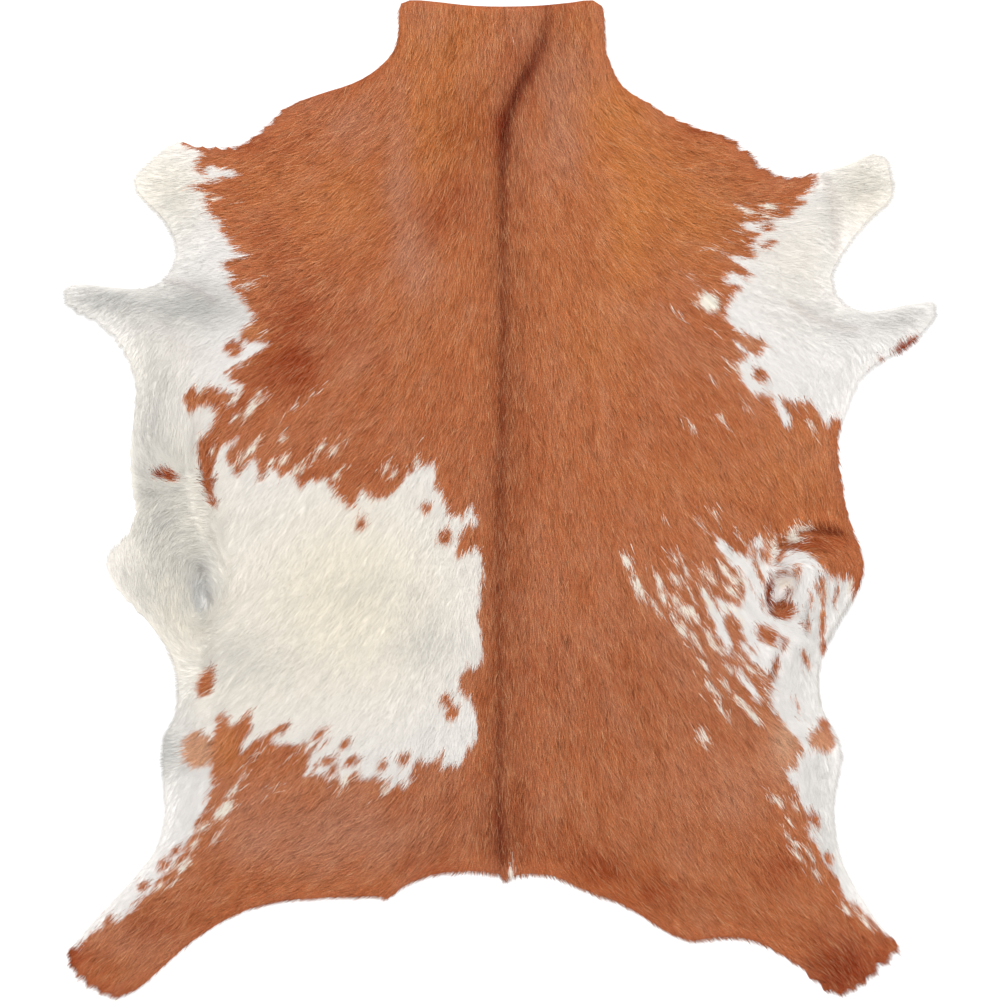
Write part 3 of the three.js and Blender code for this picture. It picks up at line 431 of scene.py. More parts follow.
WHITE_FLECKS = (
    Mark(-163, 44, 20, 3), Mark(-103, 28, 14, 3), Mark(-249, -279, 24, 9), Mark(-240, -263, 18, 4),
    Mark(-268, -295, 15, 4), Mark(-285, -330, 15, 7), Mark(-274, -308, 12, 3), Mark(-256, -306, 12, 3),
    Mark(-228, 192, 14, 4), Mark(-148, 20, 14, 3), Mark(-304, -346, 14, 3), Mark(-292, -343, 9, 3),
    Mark(-76, 34, 12, 3), Mark(-96, 22, 12, 3), Mark(188, 177, 22, 17),
    Mark(157, 168, 14, 2.4, 52, 0, 0.9),
    Mark(172, 196, 14, 2, 56, 0, 0.6), Mark(243, 262, 12, 3), Mark(279, 66, 12, 4),
    Mark(210, 118, 12, 3),
    Mark(184, -215, 13, 5), Mark(324, -374, 28, 3), Mark(311, -368, 14, 2.5), Mark(284, -338, 13, 3),
    Mark(9, -336, 13, 4), Mark(114, -56, 12.6, 7.2, 26), Mark(123, -80, 23.4, 7.2, 27),
    Mark(139, -97, 28.8, 2.3, 37), Mark(143, -75, 18, 4, 17), Mark(147, -89, 10.8, 7.2, 20),
    Mark(158, -73, 15.3, 5.4, 33), Mark(169, -81, 34.2, 2.2, 30), Mark(157, -53, 13.5, 2.2, 36),
    Mark(162, -54, 8.1, 1.8, 28), Mark(167, -65, 13.5, 2.7, 30), Mark(158, -91, 11.7, 6.3, 45),
    Mark(166, -100, 17.1, 8.1, 30), Mark(152, -95, 9, 1.8, 32), Mark(174, -103, 19.8, 3.6, 30),
    Mark(155, -106, 12.6, 1.8, 30), Mark(164, -119, 16.2, 6.3, 37), Mark(173, -124, 8.1, 1.8, 35),
    Mark(189, -70, 16.2, 4.5, 30), Mark(184, -64, 7.2, 1.8, 30), Mark(203, -66, 25.2, 4, 42),
    Mark(211, -74, 12.6, 6.3, 38), Mark(206, -81, 11.7, 4.5, 34), Mark(212, -86, 13.5, 3.6, 30),
    Mark(216, -72, 12.6, 2.7, 34), Mark(187, -93, 18, 4.5, 28), Mark(183, -82, 7.2, 2.2, 30),
    Mark(192, -14, 14, 2.6, 30, 0, 0.8), Mark(181, -23, 13.5, 3.6, 34, 0, 1.2),
    Mark(146, -20, 7.2, 2.2, 20, 0, 1.8),
    Mark(215, -35, 11.7, 2.4, 22, 0, 1), Mark(246, -42, 19.8, 3.2, -3), Mark(240, -37, 9, 1.8, 8),
    Mark(270, -27, 21.6, 3.1, 103), Mark(266, -36, 17.1, 3.6, 106), Mark(263, -32, 12.6, 4.5, 112),
    Mark(190, -171, 18, 4, 38), Mark(189, -126, 20.7, 3.6, 33), Mark(178, -132, 12.6, 2.2, 32),
    Mark(197, -135, 9, 1.8, 34), Mark(184, -150, 15.3, 1.8, 30), Mark(205, -153, 12.6, 2.2, 38),
    Mark(200, -191, 23.4, 2.2, 34), Mark(204, -169, 10.8, 1.6, 36), Mark(222, -189, 23.4, 4.5, 36),
    Mark(230, -198, 12.6, 2.7, 38), Mark(213, -179, 12.6, 1.8, 36), Mark(238, -165, 11.7, 1.8, 50),
    Mark(239, -172, 10.8, 1.8, 52), Mark(236, -158, 12.6, 1.8, 55), Mark(240, -181, 8.1, 1.6, 50),
    Mark(220, -149, 10.8, 1.6, 40), Mark(226, -154, 10.8, 1.8, 42), Mark(212, -141, 9, 1.8, 40),
    Mark(314, -78, 12.6, 2.2, -18), Mark(182, -215, 13.5, 5.4, 34), Mark(184, -214, 8.1, 2.7, 34),
    Mark(256, -76, 16.2, 10.8, 90), Mark(292, -91, 10.8, 1.4, 0), Mark(286, -91, 14.4, 1.4, 2),
    Mark(291, -78, 12.6, 1.6, 4), Mark(-224, 82, 34.2, 5, -30), Mark(-238, 90, 16.2, 3.1, -36),
    Mark(-224, 45, 27, 4.5, -40), Mark(-194, 36, 13.5, 3.6, -45), Mark(-196, 55, 9, 7.2, -45),
    Mark(-185, 83, 10.8, 2.7, -48, 0, 0.6), Mark(-166, 94, 7.2, 1.4, -52, 0, 0.8),
    Mark(-150, 44, 9.9, 3.1, -45),
    Mark(-177, 27, 12.6, 1.8, -38), Mark(-184, 26, 10.8, 1.8, -40), Mark(-206, 33, 9, 2.2, -35),
    Mark(-235, 35, 12.6, 1.6, -36), Mark(-260, 42, 12.6, 1.8, -25), Mark(-238, 74, 10.8, 1.4, -36),
    Mark(-215, 90, 9, 1.3, -36), Mark(-266, 97, 7.2, 1.8, -60), Mark(220, 260, 18, 2.7, 72),
    Mark(238, 255, 12.6, 1.8, 80), Mark(192, 224, 21.6, 1.8, 78, 0, 1.4),
    Mark(216, 240, 14.4, 1.3, 80, 0, 1),
    Mark(204, 233, 14.4, 1.3, 70, 0, 1.2), Mark(179, 171, 18, 1.4, 48, 0, 0.8),
    Mark(190, 152, 10.8, 1.1, 45, 0, 1),
    Mark(190, 107, 12.6, 1.1, 40), Mark(222, 81, 10.8, 1.3, 40), Mark(199, 72, 16.2, 1.3, 33),
    Mark(173, 63, 10.8, 1.8, 33), Mark(-215, -228, 21.6, 1.2, -42, 0, 1.1),
    Mark(-224, -233, 18, 1.3, -42, 0, 1),
    Mark(-232, -250, 21.6, 1.3, -42, 0, 1), Mark(-206, -260, 16.2, 1.2, -58, 0, 1.8),
    Mark(-140, -253, 11.7, 4.5, -35),
    Mark(-104, -261, 10.8, 4.5, -35), Mark(-144, -262, 16.2, 1.3, -35, 0, 0.8),
    Mark(-184, -228, 10.8, 1.8, -38),
    Mark(248, -270, 19.8, 3.1, 38), Mark(262, -291, 12.6, 1.4, 42), Mark(266, -277, 12.6, 2.9, 35),
    Mark(259, -304, 19.8, 1.3, 42), Mark(266, -311, 9.9, 1.6, 38), Mark(269, -322, 16.2, 3.6, 50),
    Mark(278, -319, 15.3, 1.8, 35), Mark(-256, -304, 12.6, 1.4, -35), Mark(-274, -310, 10.8, 1.8, -40),
    Mark(-284, -326, 16.2, 2.7, -45), Mark(-297, -333, 14.4, 1.4, -45), Mark(-256, 270, 8.1, 2.7, 70),
    Mark(-210, 150, 16.2, 2.2, -52, 0, 0.9), Mark(210, -97, 14.4, 4.5, 28),
    Mark(204, -100, 10.8, 3.6, 26), Mark(217, -109, 10.8, 3.6, 28), Mark(10, 422, 18, 1.3, 0, 0, 2.6),
    Mark(-210, 85, 10.8, 1.3, -40, 0, 1.2),
)

# The dark line along the backbone, from the neck to the tail
BACKBONE = (
    (42, 432), (38, 410), (30, 390), (16, 366), (8, 340), (4, 300), (3, 240), (3, 90), (-1, 0),
    (-4, -90), (-1, -180), (-3, -270), (4, -340),
)

# Where the rug's rim lies inside its plain outline, and how far in millimetres
TUCKS = (
    Tone(219, 317, 14, 20, 2.2), Tone(255, 294, 18, 16, 2), Tone(179, 333, 31, 14, 1.4),
    Tone(-210, 339, 23, 20, 1.8), Tone(-230, 323, 13, 11, 0.8), Tone(307, 62, 9, 27, 1.2),
    Tone(320, -37, 9, 45, 1),
)

# Where longer hair stands out over the rim, and how much longer
FRINGES = (
    Tone(-365, 159, 27, 14, 1.6), Tone(-336, 134, 14, 23, 1.8), Tone(359, 132, 25, 14, 1.6),
    Tone(328, 108, 18, 18, 1.4), Tone(-91, 436, 13, 16, 1.6), Tone(341, -420, 23, 27, 1.8),
    Tone(-365, -433, 27, 20, 1.2), Tone(235, 299, 23, 14, 1.4), Tone(143, 353, 36, 14, 0.8),
    Tone(-386, 186, 13, 13, 1.6), Tone(-154, 371, 45, 18, 0.5), Tone(-336, 35, 9, 45, 1),
    Tone(-300, 312, 27, 14, 0.8), Tone(310, 71, 9, 27, 0.6),
)

# Where the coat is darker, towards the colour of the backbone
DUSK = (
    Tone(130, -181, 99, 90, 0.12), Tone(89, -316, 117, 32, 0.13), Tone(184, -372, 63, 25, 0.16),
    Tone(-64, -291, 108, 31, 0.13), Tone(14, -19, 14, 297, 0.12), Tone(-32, 332, 29, 54, 0.12),
    Tone(303, -423, 29, 23, 0.45), Tone(-154, -244, 36, 18, 0.08), Tone(220, 243, 27, 27, 0.12),
    Tone(-307, -366, 45, 23, 0.1), Tone(215, -181, 31, 54, 0.05), Tone(-4, -316, 22, 36, 0.12),
)

# Soft patches of each shade over the brown and the white: mostly the hair's own colour, some painted shade
# or painted light where marked
TONES = {
    Shade.ORANGE: (
        Tone(-46, 395, 40, 63, 0.55), Tone(-50, 323, 36, 43, 0.75), Tone(80, 413, 25, 27, 0.4),
        Tone(100, 351, 40, 31, 0.8), Tone(130, 300, 54, 36, 0.55), Tone(172, 249, 52, 43, 0.7),
        Tone(114, 228, 25, 72, 0.6), Tone(-145, 264, 43, 41, 0.5), Tone(89, 138, 38, 47, 0.35),
        Tone(269, 39, 40, 45, 0.3), Tone(-248, -226, 13, 22, 0.7), Tone(-215, 278, 31, 27, 0.25),
        Tone(-91, 413, 27, 27, 0.25), Tone(53, 224, 27, 54, 0.2), Tone(-19, 179, 54, 81, 0.1),
        Tone(283, -33, 31, 18, 0.35), Tone(107, -343, 81, 23, 0.3), Tone(-95, 152, 54, 54, 0.15),
        Tone(179, 17, 81, 27, 0.2),
        Tone(-223, 151, 9, 9, 0.9), Tone(-206, 135, 13, 13, 0.4),
    ),
    Shade.DEEP: (
        Tone(-194, 147, 27, 47, 0.55), Tone(-181, 114, 22, 18, 0.5), Tone(-165, 171, 18, 20, 0.2),
        Tone(-208, 240, 18, 27, 0.22), Tone(1, 330, 14, 20, 0.5), Tone(-35, 269, 25, 27, 0.4),
        Tone(-62, 252, 22, 22, 0.25), Tone(292, -35, 22, 14, 0.6), Tone(53, -153, 40, 40, 0.2),
        # At (292, -35): painted shadow under the right flank's fold, in deep brown
        Tone(93, -333, 34, 18, 0.6), Tone(147, -352, 32, 14, 0.5), Tone(252, -333, 18, 20, 0.5),
        Tone(310, -421, 32, 28, 0.7), Tone(-73, -327, 22, 18, 0.35), Tone(-226, 321, 20, 9, 0.35),
        Tone(179, 330, 31, 8, 0.35), Tone(345, -403, 9, 16, 0.3), Tone(-314, -388, 25, 13, 0.45),
        Tone(-364, -408, 13, 11, 0.2), Tone(-109, 24, 40, 11, 0.2), Tone(-262, 26, 9, 36, 0.35),
        Tone(53, 363, 11, 27, 0.2), Tone(40, -316, 27, 18, 0.2), Tone(17, -289, 36, 36, 0.15),
        Tone(-50, -271, 36, 27, 0.15), Tone(-235, 89, 22, 27, 0.2), Tone(-140, 152, 36, 27, 0.15),
        Tone(-302, 22, 16, 8, 1), Tone(364, 138, 20, 14, 0.9), Tone(20, 385, 18, 36, 0.3),
        # At (270, -42): painted shadow at the end of the right flank's fold
        Tone(254, -99, 14, 10, 0.35), Tone(270, -42, 14, 6, 0.4), Tone(310, -405, 40, 30, 0.25),
        Tone(-41, 332, 25, 34, 0.25),
        Tone(-382, -412, 12, 16, 0.5), Tone(-345, -442, 20, 8, 0.4), Tone(243, -84, 5, 16, 0.8),
        Tone(-271, -372, 22, 11, 0.25),
        # Along the neck's fold: painted shade, in deep red-brown
        Tone(36, 405, 7, 12, 0.5), Tone(25, 382, 8, 14, 0.5), Tone(13, 360, 7, 13, 0.6),
        Tone(4, 336, 7, 16, 0.6), Tone(1, 308, 6, 18, 0.4), Tone(-28, 341, 27, 45, 0.2),
    ),
    Shade.ROSE: (
        Tone(-140, 332, 27, 25, 0.45), Tone(-77, 213, 18, 38, 0.75), Tone(-125, 134, 38, 45, 0.35),
        Tone(55, 314, 23, 40, 0.55), Tone(139, 152, 54, 38, 0.25), Tone(224, 89, 54, 63, 0.15),
        Tone(179, -145, 58, 54, 0.25), Tone(217, -253, 47, 45, 0.4), Tone(-181, -309, 54, 27, 0.5),
        Tone(-116, -297, 40, 32, 0.45), Tone(-235, -294, 31, 36, 0.4), Tone(-334, -399, 40, 27, 0.4),
        Tone(53, -199, 234, 135, 0.12), Tone(-181, -289, 171, 54, 0.2), Tone(-68, 431, 20, 20, 0.4),
        Tone(35, -55, 36, 63, 0.1), Tone(-172, 53, 54, 22, 0.2), Tone(305, -361, 36, 36, 0.1),
        Tone(125, -91, 72, 54, 0.12), Tone(-181, 359, 36, 14, 0.3), Tone(-1, 395, 18, 36, 0.2),
        Tone(80, 395, 18, 36, 0.35),
        # At (55, 375): painted light on the ridge right of the neck's fold
        Tone(55, 375, 23, 29, 0.35), Tone(-91, 282, 14, 58, 0.55),
    ),
    Shade.TAN: (
        Tone(256, -219, 14, 22, 1.1), Tone(-272, -226, 16, 18, 0.3),
        # At (56, 373) and (19, 418): painted light and glints on the ridge beside the neck's fold
        Tone(56, 373, 16, 23, 0.22), Tone(19, 418, 11, 18, 0.25), Tone(224, 140, 12, 9, 0.4),
        Tone(-223, 151, 9, 9, 0.2),
    ),
    Shade.CREAM: (
        Tone(-140, -91, 108, 108, 1), Tone(-302, 278, 36, 41, 0.7), Tone(330, 278, 31, 36, 0.75),
        Tone(269, 215, 45, 54, 0.35), Tone(-244, -181, 54, 45, 0.3), Tone(-302, -20, 50, 90, 0.8),
        Tone(-285, -110, 40, 50, 0.5), Tone(-315, 120, 40, 50, 0.3),
    ),
    # Grey: partly the white hair's own grey, partly painted shade in hollows, creases and towards the rims
    Shade.GREY: (
        Tone(-329, 179, 59, 23, 0.45), Tone(-271, 173, 45, 23, 0.8), Tone(-316, 84, 25, 59, 0.45),
        Tone(-302, -37, 41, 56, 0.55), Tone(-266, -75, 18, 31, 0.7), Tone(-316, -109, 36, 43, 0.35),
        Tone(-251, -141, 43, 41, 0.3), Tone(-302, -190, 25, 40, 0.5), Tone(-296, -235, 20, 25, 0.4),
        Tone(-298, 233, 23, 31, 0.35), Tone(-68, -132, 34, 25, 0.35), Tone(-122, -82, 49, 23, 0.2),
        Tone(-190, -150, 59, 25, 0.15), Tone(296, 224, 11, 38, 0.3), Tone(301, 165, 41, 16, 0.2),
        Tone(262, 179, 29, 27, 0.15), Tone(283, -141, 25, 59, 0.25), Tone(289, -249, 22, 31, 0.2),
        Tone(-239, -253, 27, 27, 0.2), Tone(-310, 20, 40, 60, 0.38),
        Tone(-299, -224, 18, 20, 0.45), Tone(300, -60, 20, 30, 0.2),
        Tone(-366, 178, 30, 14, 0.6), Tone(-302, 278, 30, 36, 0.3), Tone(330, 278, 30, 30, 0.25),
        Tone(298, -330, 14, 45, 0.35), Tone(300, -285, 22, 40, 0.2),
        # At (366, 162) and (332, 143): painted shade towards the right foreleg's rim
        Tone(366, 162, 31, 18, 0.45), Tone(332, 143, 36, 27, 0.2), Tone(325, 287, 27, 22, 0.2),
        # Over a lit strip in the left whorl: painted shade
        Tone(-268, -90, 6, 12, 0.8),
    ),
}


def ease(share: np.ndarray) -> np.ndarray:
    """Eases from 0 to 1 as share goes from 0 to 1."""
    held = np.clip(share, 0.0, 1.0)
    return held * held * (3.0 - 2.0 * held)


def unit(vectors: np.ndarray) -> np.ndarray:
    """The same directions at length 1."""
    return vectors / np.maximum(np.linalg.norm(vectors, axis=-1, keepdims=True), 1e-9)


def heading_vector(degrees: float | np.ndarray) -> np.ndarray:
    """The direction on the hide of a heading in degrees."""
    turn = np.radians(np.asarray(degrees, dtype=float))
    return np.stack([np.sin(turn), -np.cos(turn)], axis=-1)


def turned(directions: np.ndarray, angles: np.ndarray) -> np.ndarray:
    """Directions turned anticlockwise, as seen from above, by angles in radians."""
    cos, sin = np.cos(angles), np.sin(angles)
    x, y = directions[:, 0], directions[:, 1]
    return np.stack([x * cos - y * sin, x * sin + y * cos], axis=1)


def loop_distance(places: np.ndarray, loop: np.ndarray) -> np.ndarray:
    """Distance to a closed loop, above 0 inside it.

    Args:
        places: The places to measure, (n, 2).
        loop: The loop's corners in order, (m, 2).

    Returns:
        One distance for each place.
    """
    starts, ends = loop, np.roll(loop, -1, axis=0)
    sides = ends - starts
    lengths = np.maximum((sides**2).sum(axis=1), 1e-9)
    found = np.empty(len(places))
    chunk = 4000
    for first in range(0, len(places), chunk):
        part = places[first : first + chunk, None, :]
        away = part - starts[None]
        share = np.clip((away * sides[None]).sum(axis=2) / lengths, 0.0, 1.0)
        nearest = np.hypot(*np.moveaxis(away - share[..., None] * sides[None], 2, 0)).min(axis=1)
        y = part[..., 1]
        between = (starts[None, :, 1] > y) != (ends[None, :, 1] > y)
        rise = np.where(np.abs(sides[:, 1]) < 1e-12, 1e-12, sides[:, 1])
        crossing = starts[None, :, 0] + (y - starts[None, :, 1]) / rise * sides[None, :, 0]
        inside = ((between & (part[..., 0] < crossing)).sum(axis=1) % 2).astype(bool)
        found[first : first + chunk] = np.where(inside, nearest, -nearest)
    return found


def toned(tones: tuple[Tone, ...], places: np.ndarray) -> np.ndarray:
    """The sum of some soft patches."""
    total = np.zeros(len(places))
    for tone in tones:
        u = (places[:, 0] - tone.x) / tone.across
        v = (places[:, 1] - tone.y) / tone.along
        total += tone.amount * np.exp(-(u * u + v * v))
    return total


class Grid:
    """Values on an even grid over the hide, read smoothly between its points."""

    def __init__(self, low: np.ndarray, step: float, values: np.ndarray) -> None:
        """Keeps the grid.

        Args:
            low: The first point, (2,).
            step: The spacing both ways.
            values: The values, one row for each y.
        """
        self.low = low
        self.step = step
        self.values = values

    @classmethod
    def places(cls, low: np.ndarray, high: np.ndarray, step: float) -> tuple[np.ndarray, tuple[int, int]]:
        """The grid's points over a box, and its shape as rows and columns."""
        columns, rows = (np.ceil((high - low) / step).astype(int) + 1)
        x, y = np.meshgrid(low[0] + step * np.arange(columns), low[1] + step * np.arange(rows))
        return np.stack([x.ravel(), y.ravel()], axis=1), (int(rows), int(columns))

    def at(self, places: np.ndarray) -> np.ndarray:
        """The value at each place, straight between the four points round it."""
        rows, columns = self.values.shape
        spot = (places - self.low) / self.step
        x = np.clip(spot[:, 0], 0, columns - 1.001)
        y = np.clip(spot[:, 1], 0, rows - 1.001)
        column, row = x.astype(int), y.astype(int)
        u, v = x - column, y - row
        below = self.values[row, column] * (1 - u) + self.values[row, column + 1] * u
        above = self.values[row + 1, column] * (1 - u) + self.values[row + 1, column + 1] * u
        return below * (1 - v) + above * v

    def slope(self, places: np.ndarray, reach: float) -> np.ndarray:
        """The direction in which the value grows fastest, at length 1."""
        east = np.array([reach, 0.0])
        north = np.array([0.0, reach])
        x = self.at(places + east) - self.at(places - east)
        y = self.at(places + north) - self.at(places - north)
        return unit(np.stack([x, y], axis=1))


class StreakNoise:
    """Seeded noise that can be drawn out along the hair."""

    SIDE = 512

    def __init__(self, cell: float, seed: int) -> None:
        """Keeps the size of a cell, in millimetres, and draws the values."""
        self.cell = cell
        self.values = np.random.default_rng(seed).random((self.SIDE, self.SIDE))

    def at(self, places: np.ndarray) -> np.ndarray:
        """Plain noise at each place, from 0 to 1."""
        spot = places / self.cell
        low = np.floor(spot)
        share = ease(spot - low)
        column, row = (low.astype(int) % self.SIDE).T
        right, up = (column + 1) % self.SIDE, (row + 1) % self.SIDE
        below = self.values[row, column] * (1 - share[:, 0]) + self.values[row, right] * share[:, 0]
        above = self.values[up, column] * (1 - share[:, 0]) + self.values[up, right] * share[:, 0]
        return below * (1 - share[:, 1]) + above * share[:, 1]

    def along(self, places: np.ndarray, headings: np.ndarray, length: float) -> np.ndarray:
        """Noise drawn out along the hair, with a mean of 0 and a spread of 1."""
        steps = max(3, int(round(length / self.cell * 1.5)))
        offsets = np.linspace(-0.5, 0.5, steps) * length
        total = sum(self.at(places + headings * offset) for offset in offsets)
        return (total - total.mean()) / max(total.std(), 1e-9)


class Outline:
    """The hide's rim, read from the solid's foot on the floor."""

    STEP = 2.0

    def __init__(self, node: bpy.types.Object) -> None:
        """Finds the rim and lays a grid of the distance to it.

        Args:
            node: The hide's solid.
        """
        self.loop = self.foot_of(node)
        margin = 24.0
        low, high = self.loop.min(axis=0) - margin, self.loop.max(axis=0) + margin
        places, shape = Grid.places(low, high, self.STEP)
        plain = loop_distance(places, self.loop)
        self.untucked = Grid(low, self.STEP, plain.reshape(shape))
        self.distance = Grid(low, self.STEP, (plain - toned(TUCKS, places)).reshape(shape))

    @staticmethod
    def foot_of(node: bpy.types.Object) -> np.ndarray:
        """The corners where the solid's wall meets the floor, anticlockwise.

        Args:
            node: The hide's solid.

        Returns:
            The corners in millimetres, (n, 2).
        """
        mesh = bmesh.new()
        mesh.from_mesh(node.data)
        bmesh.ops.remove_doubles(mesh, verts=mesh.verts, dist=1e-6)
        mesh.normal_update()
        floor = 1e-5
        beside: dict[int, list[int]] = {}
        for edge in mesh.edges:
            low = all(vert.co.z < floor for vert in edge.verts)
            tilts = sorted(abs(face.normal.z) for face in edge.link_faces)
            if low and len(tilts) == 2 and tilts[0] < 0.5 < tilts[1]:
                first, second = (vert.index for vert in edge.verts)
                beside.setdefault(first, []).append(second)
                beside.setdefault(second, []).append(first)
        mesh.verts.ensure_lookup_table()
        route = [next(iter(beside))]
        last = None
        while True:
            onward = [index for index in beside[route[-1]] if index != last]
            last = route[-1]
            if onward[0] == route[0]:
                break
            route.append(onward[0])
        loop = np.array([mesh.verts[index].co.xy[:] for index in route]) / MM
        mesh.free()
        ahead = np.roll(loop, -1, axis=0)
        area = (loop[:, 0] * ahead[:, 1] - ahead[:, 0] * loop[:, 1]).sum()
        return loop if area > 0 else loop[::-1]

    def evenly(self, step: float) -> np.ndarray:
        """Points along the rim, its corners among them, at most step apart."""
        points = []
        for start, end in zip(self.loop, np.roll(self.loop, -1, axis=0)):
            count = max(1, int(np.ceil(np.linalg.norm(end - start) / step)))
            points += [start + (end - start) * share / count for share in range(count)]
        return np.array(points)

    def inward(self, places: np.ndarray) -> np.ndarray:
        """The direction away from the rim, into the hide."""
        return self.untucked.slope(places, self.STEP)

    def leather_inset(self, places: np.ndarray, headings: np.ndarray) -> np.ndarray:
        """How far the leather's edge lies inside the tucked rim.

        Hair that lies outwards hides the edge and makes the rim itself, and where
        it lies inwards the edge is the rim.
        """
        outwards = np.clip(-(headings * self.inward(places)).sum(axis=1), 0.0, 1.0)
        return 0.3 + 2.4 * outwards

    def bare_rim(self, places: np.ndarray, headings: np.ndarray) -> np.ndarray:
        """How far inside the rim the hair starts: past the cut where it lies inwards."""
        inwards = (headings * self.inward(places)).sum(axis=1)
        return self.leather_inset(places, headings) + 0.2 + 0.3 * ease((inwards + 0.35) / 0.5)


class Relief:
    """The height of the leather and of the nap, from the solid and its creases."""

    STEP = 6.0

    def __init__(self, node: bpy.types.Object, outline: Outline) -> None:
        """Reads how far the solid's top is lifted or pressed.

        Args:
            node: The hide's solid.
            outline: The hide's rim.
        """
        self.outline = outline
        corners = [vert.co / MM for vert in node.data.vertices]
        faces = [tuple(face.vertices) for face in node.data.polygons]
        tree = BVHTree.FromPolygons(corners, faces)
        grid = outline.distance
        high = grid.low + grid.step * np.array(grid.values.shape[::-1])
        places, shape = Grid.places(grid.low, high, self.STEP)
        above = 100.0
        tops = np.full(len(places), np.nan)
        for index, (x, y) in enumerate(places):
            hit = tree.ray_cast(Vector((x, y, above)), Vector((0, 0, -1)))[0]
            if hit is not None:
                tops[index] = hit.z
        depth = grid.at(places)
        lift = (tops - self.sheet_thickness(depth)).reshape(shape)
        lift[(depth < 1.0).reshape(shape)] = np.nan
        self.lift = Grid(grid.low, self.STEP, self.smoothed(self.spread(lift)))

    @staticmethod
    def sheet_thickness(depth: np.ndarray) -> np.ndarray:
        """The solid's thickness, by the distance from its rim."""
        return RIM_THICKNESS + (NAP_THICKNESS - RIM_THICKNESS) * ease(depth / RIM_WIDTH)

    @staticmethod
    def spread(values: np.ndarray) -> np.ndarray:
        """Fills the grid outside the hide from its nearest rows inside."""
        filled = values.copy()
        while np.isnan(filled).any():
            padded = np.pad(filled, 1, constant_values=np.nan)
            tall, wide = filled.shape
            shifts = [padded[r : r + tall, c : c + wide] for r in range(3) for c in range(3)]
            known = ~np.isnan(np.array(shifts))
            total = np.where(known, np.array(shifts), 0.0).sum(axis=0)
            mean = total / np.maximum(known.sum(axis=0), 1)
            grown = np.isnan(filled) & (known.sum(axis=0) > 0)
            filled[grown] = mean[grown]
        return filled

    @staticmethod
    def smoothed(values: np.ndarray) -> np.ndarray:
        """The grid with the solid's facets softened."""
        for _ in range(2):
            padded = np.pad(values, 1, mode="edge")
            values = (padded[:-2] + 2 * padded[1:-1] + padded[2:]) / 4
            values = (values[:, :-2] + 2 * values[:, 1:-1] + values[:, 2:]) / 4
        return values

    @staticmethod
    def crease_share(crease: Crease, places: np.ndarray) -> np.ndarray:
        """How near each place is to a crease: 1 on it, 0 well away from it."""
        start = np.array([crease.x1, crease.y1])
        run = np.array([crease.x2, crease.y2]) - start
        span = np.hypot(*run)
        away = places - start
        share = (away @ run) / span**2
        aside = (away[:, 1] * run[0] - away[:, 0] * run[1]) / span
        held = np.clip(share, 0.0, 1.0)
        from_line = aside - crease.bow * 4 * held * (1 - held)
        distance = np.hypot(from_line, (share - held) * span) / crease.reach
        return np.exp(-(distance**2))

    def creased(self, places: np.ndarray) -> np.ndarray:
        """What the finer creases add to the height."""
        return sum(crease.rise * self.crease_share(crease, places) for crease in CREASES)

    def leather_top(self, places: np.ndarray) -> np.ndarray:
        """The height of the leather's hair side."""
        lifted = np.maximum(self.lift.at(places), 0.0) + self.creased(places)
        return LEATHER_THICKNESS + np.maximum(lifted, -0.5)

    def leather_foot(self, places: np.ndarray) -> np.ndarray:
        """The height of the flesh side: on the floor, and hollow under ridges."""
        return np.maximum(self.leather_top(places) - LEATHER_THICKNESS - WAVE_HEIGHT, 0.0)

    def nap(self, places: np.ndarray) -> np.ndarray:
        """How high the hair's tips lie over the leather."""
        depth = self.outline.distance.at(places)
        pressed = np.minimum(self.lift.at(places), 0.0)
        return np.maximum(self.sheet_thickness(depth) - LEATHER_THICKNESS + pressed, 0.5)

    def upward(self, places: np.ndarray) -> np.ndarray:
        """The direction straight out of the coat's surface."""
        reach = 1.5
        rises = []
        for step in (np.array([reach, 0.0]), np.array([0.0, reach])):
            ahead, behind = places + step, places - step
            rise = self.leather_top(ahead) + self.nap(ahead) - self.leather_top(behind) - self.nap(behind)
            rises.append(-rise / (2 * reach))
        return unit(np.column_stack([*rises, np.ones(len(places))]))


class Flow:
    """Which way the hair lies, everywhere on the hide."""

    NEAR = 6.0

    def __init__(self) -> None:
        """Turns the guides into places and directions."""
        self.places = np.array([(guide.x, guide.y) for guide in GUIDES], dtype=float)
        self.directions = heading_vector([guide.heading for guide in GUIDES])

    def at(self, places: np.ndarray) -> np.ndarray:
        """The hair's direction at each place, between the guides and round the whorls."""
        found = np.empty((len(places), 2))
        chunk = 20000
        for first in range(0, len(places), chunk):
            part = places[first : first + chunk]
            squares = ((part[:, None, :] - self.places[None]) ** 2).sum(axis=2) + self.NEAR**2
            weights = squares**-2.0
            found[first : first + chunk] = weights @ self.directions / weights.sum(axis=1, keepdims=True)
        found = unit(found)
        for whorl in WHORLS:
            away = places - np.array([whorl.x, whorl.y])
            scaled = away / np.array([whorl.across, whorl.along])
            share = np.exp(-((scaled**2).sum(axis=1) ** 2))[:, None]
            round_it = np.stack([scaled[:, 1], -scaled[:, 0]], axis=1) + whorl.outward * scaled
            round_it = unit(round_it)
            found = unit(found * (1 - share) + round_it * share)
        return found


@dataclass
class Look:
    """The coat's colouring at some places, one value for each."""

    white: np.ndarray
    dark: np.ndarray
    fold: np.ndarray
    shades: dict[Shade, np.ndarray]

    def masks(self) -> dict[str, np.ndarray]:
        """Every mask by the name that the material reads."""
        shades = {shade.value: values for shade, values in self.shades.items()}
        return {"white": self.white, "dark": self.dark, "fold": self.fold, **shades}

    def chosen(self, wanted: np.ndarray) -> "Look":
        """The colouring of the places for which wanted is true."""
        shades = {shade: values[wanted] for shade, values in self.shades.items()}
        return Look(self.white[wanted], self.dark[wanted], self.fold[wanted], shades)


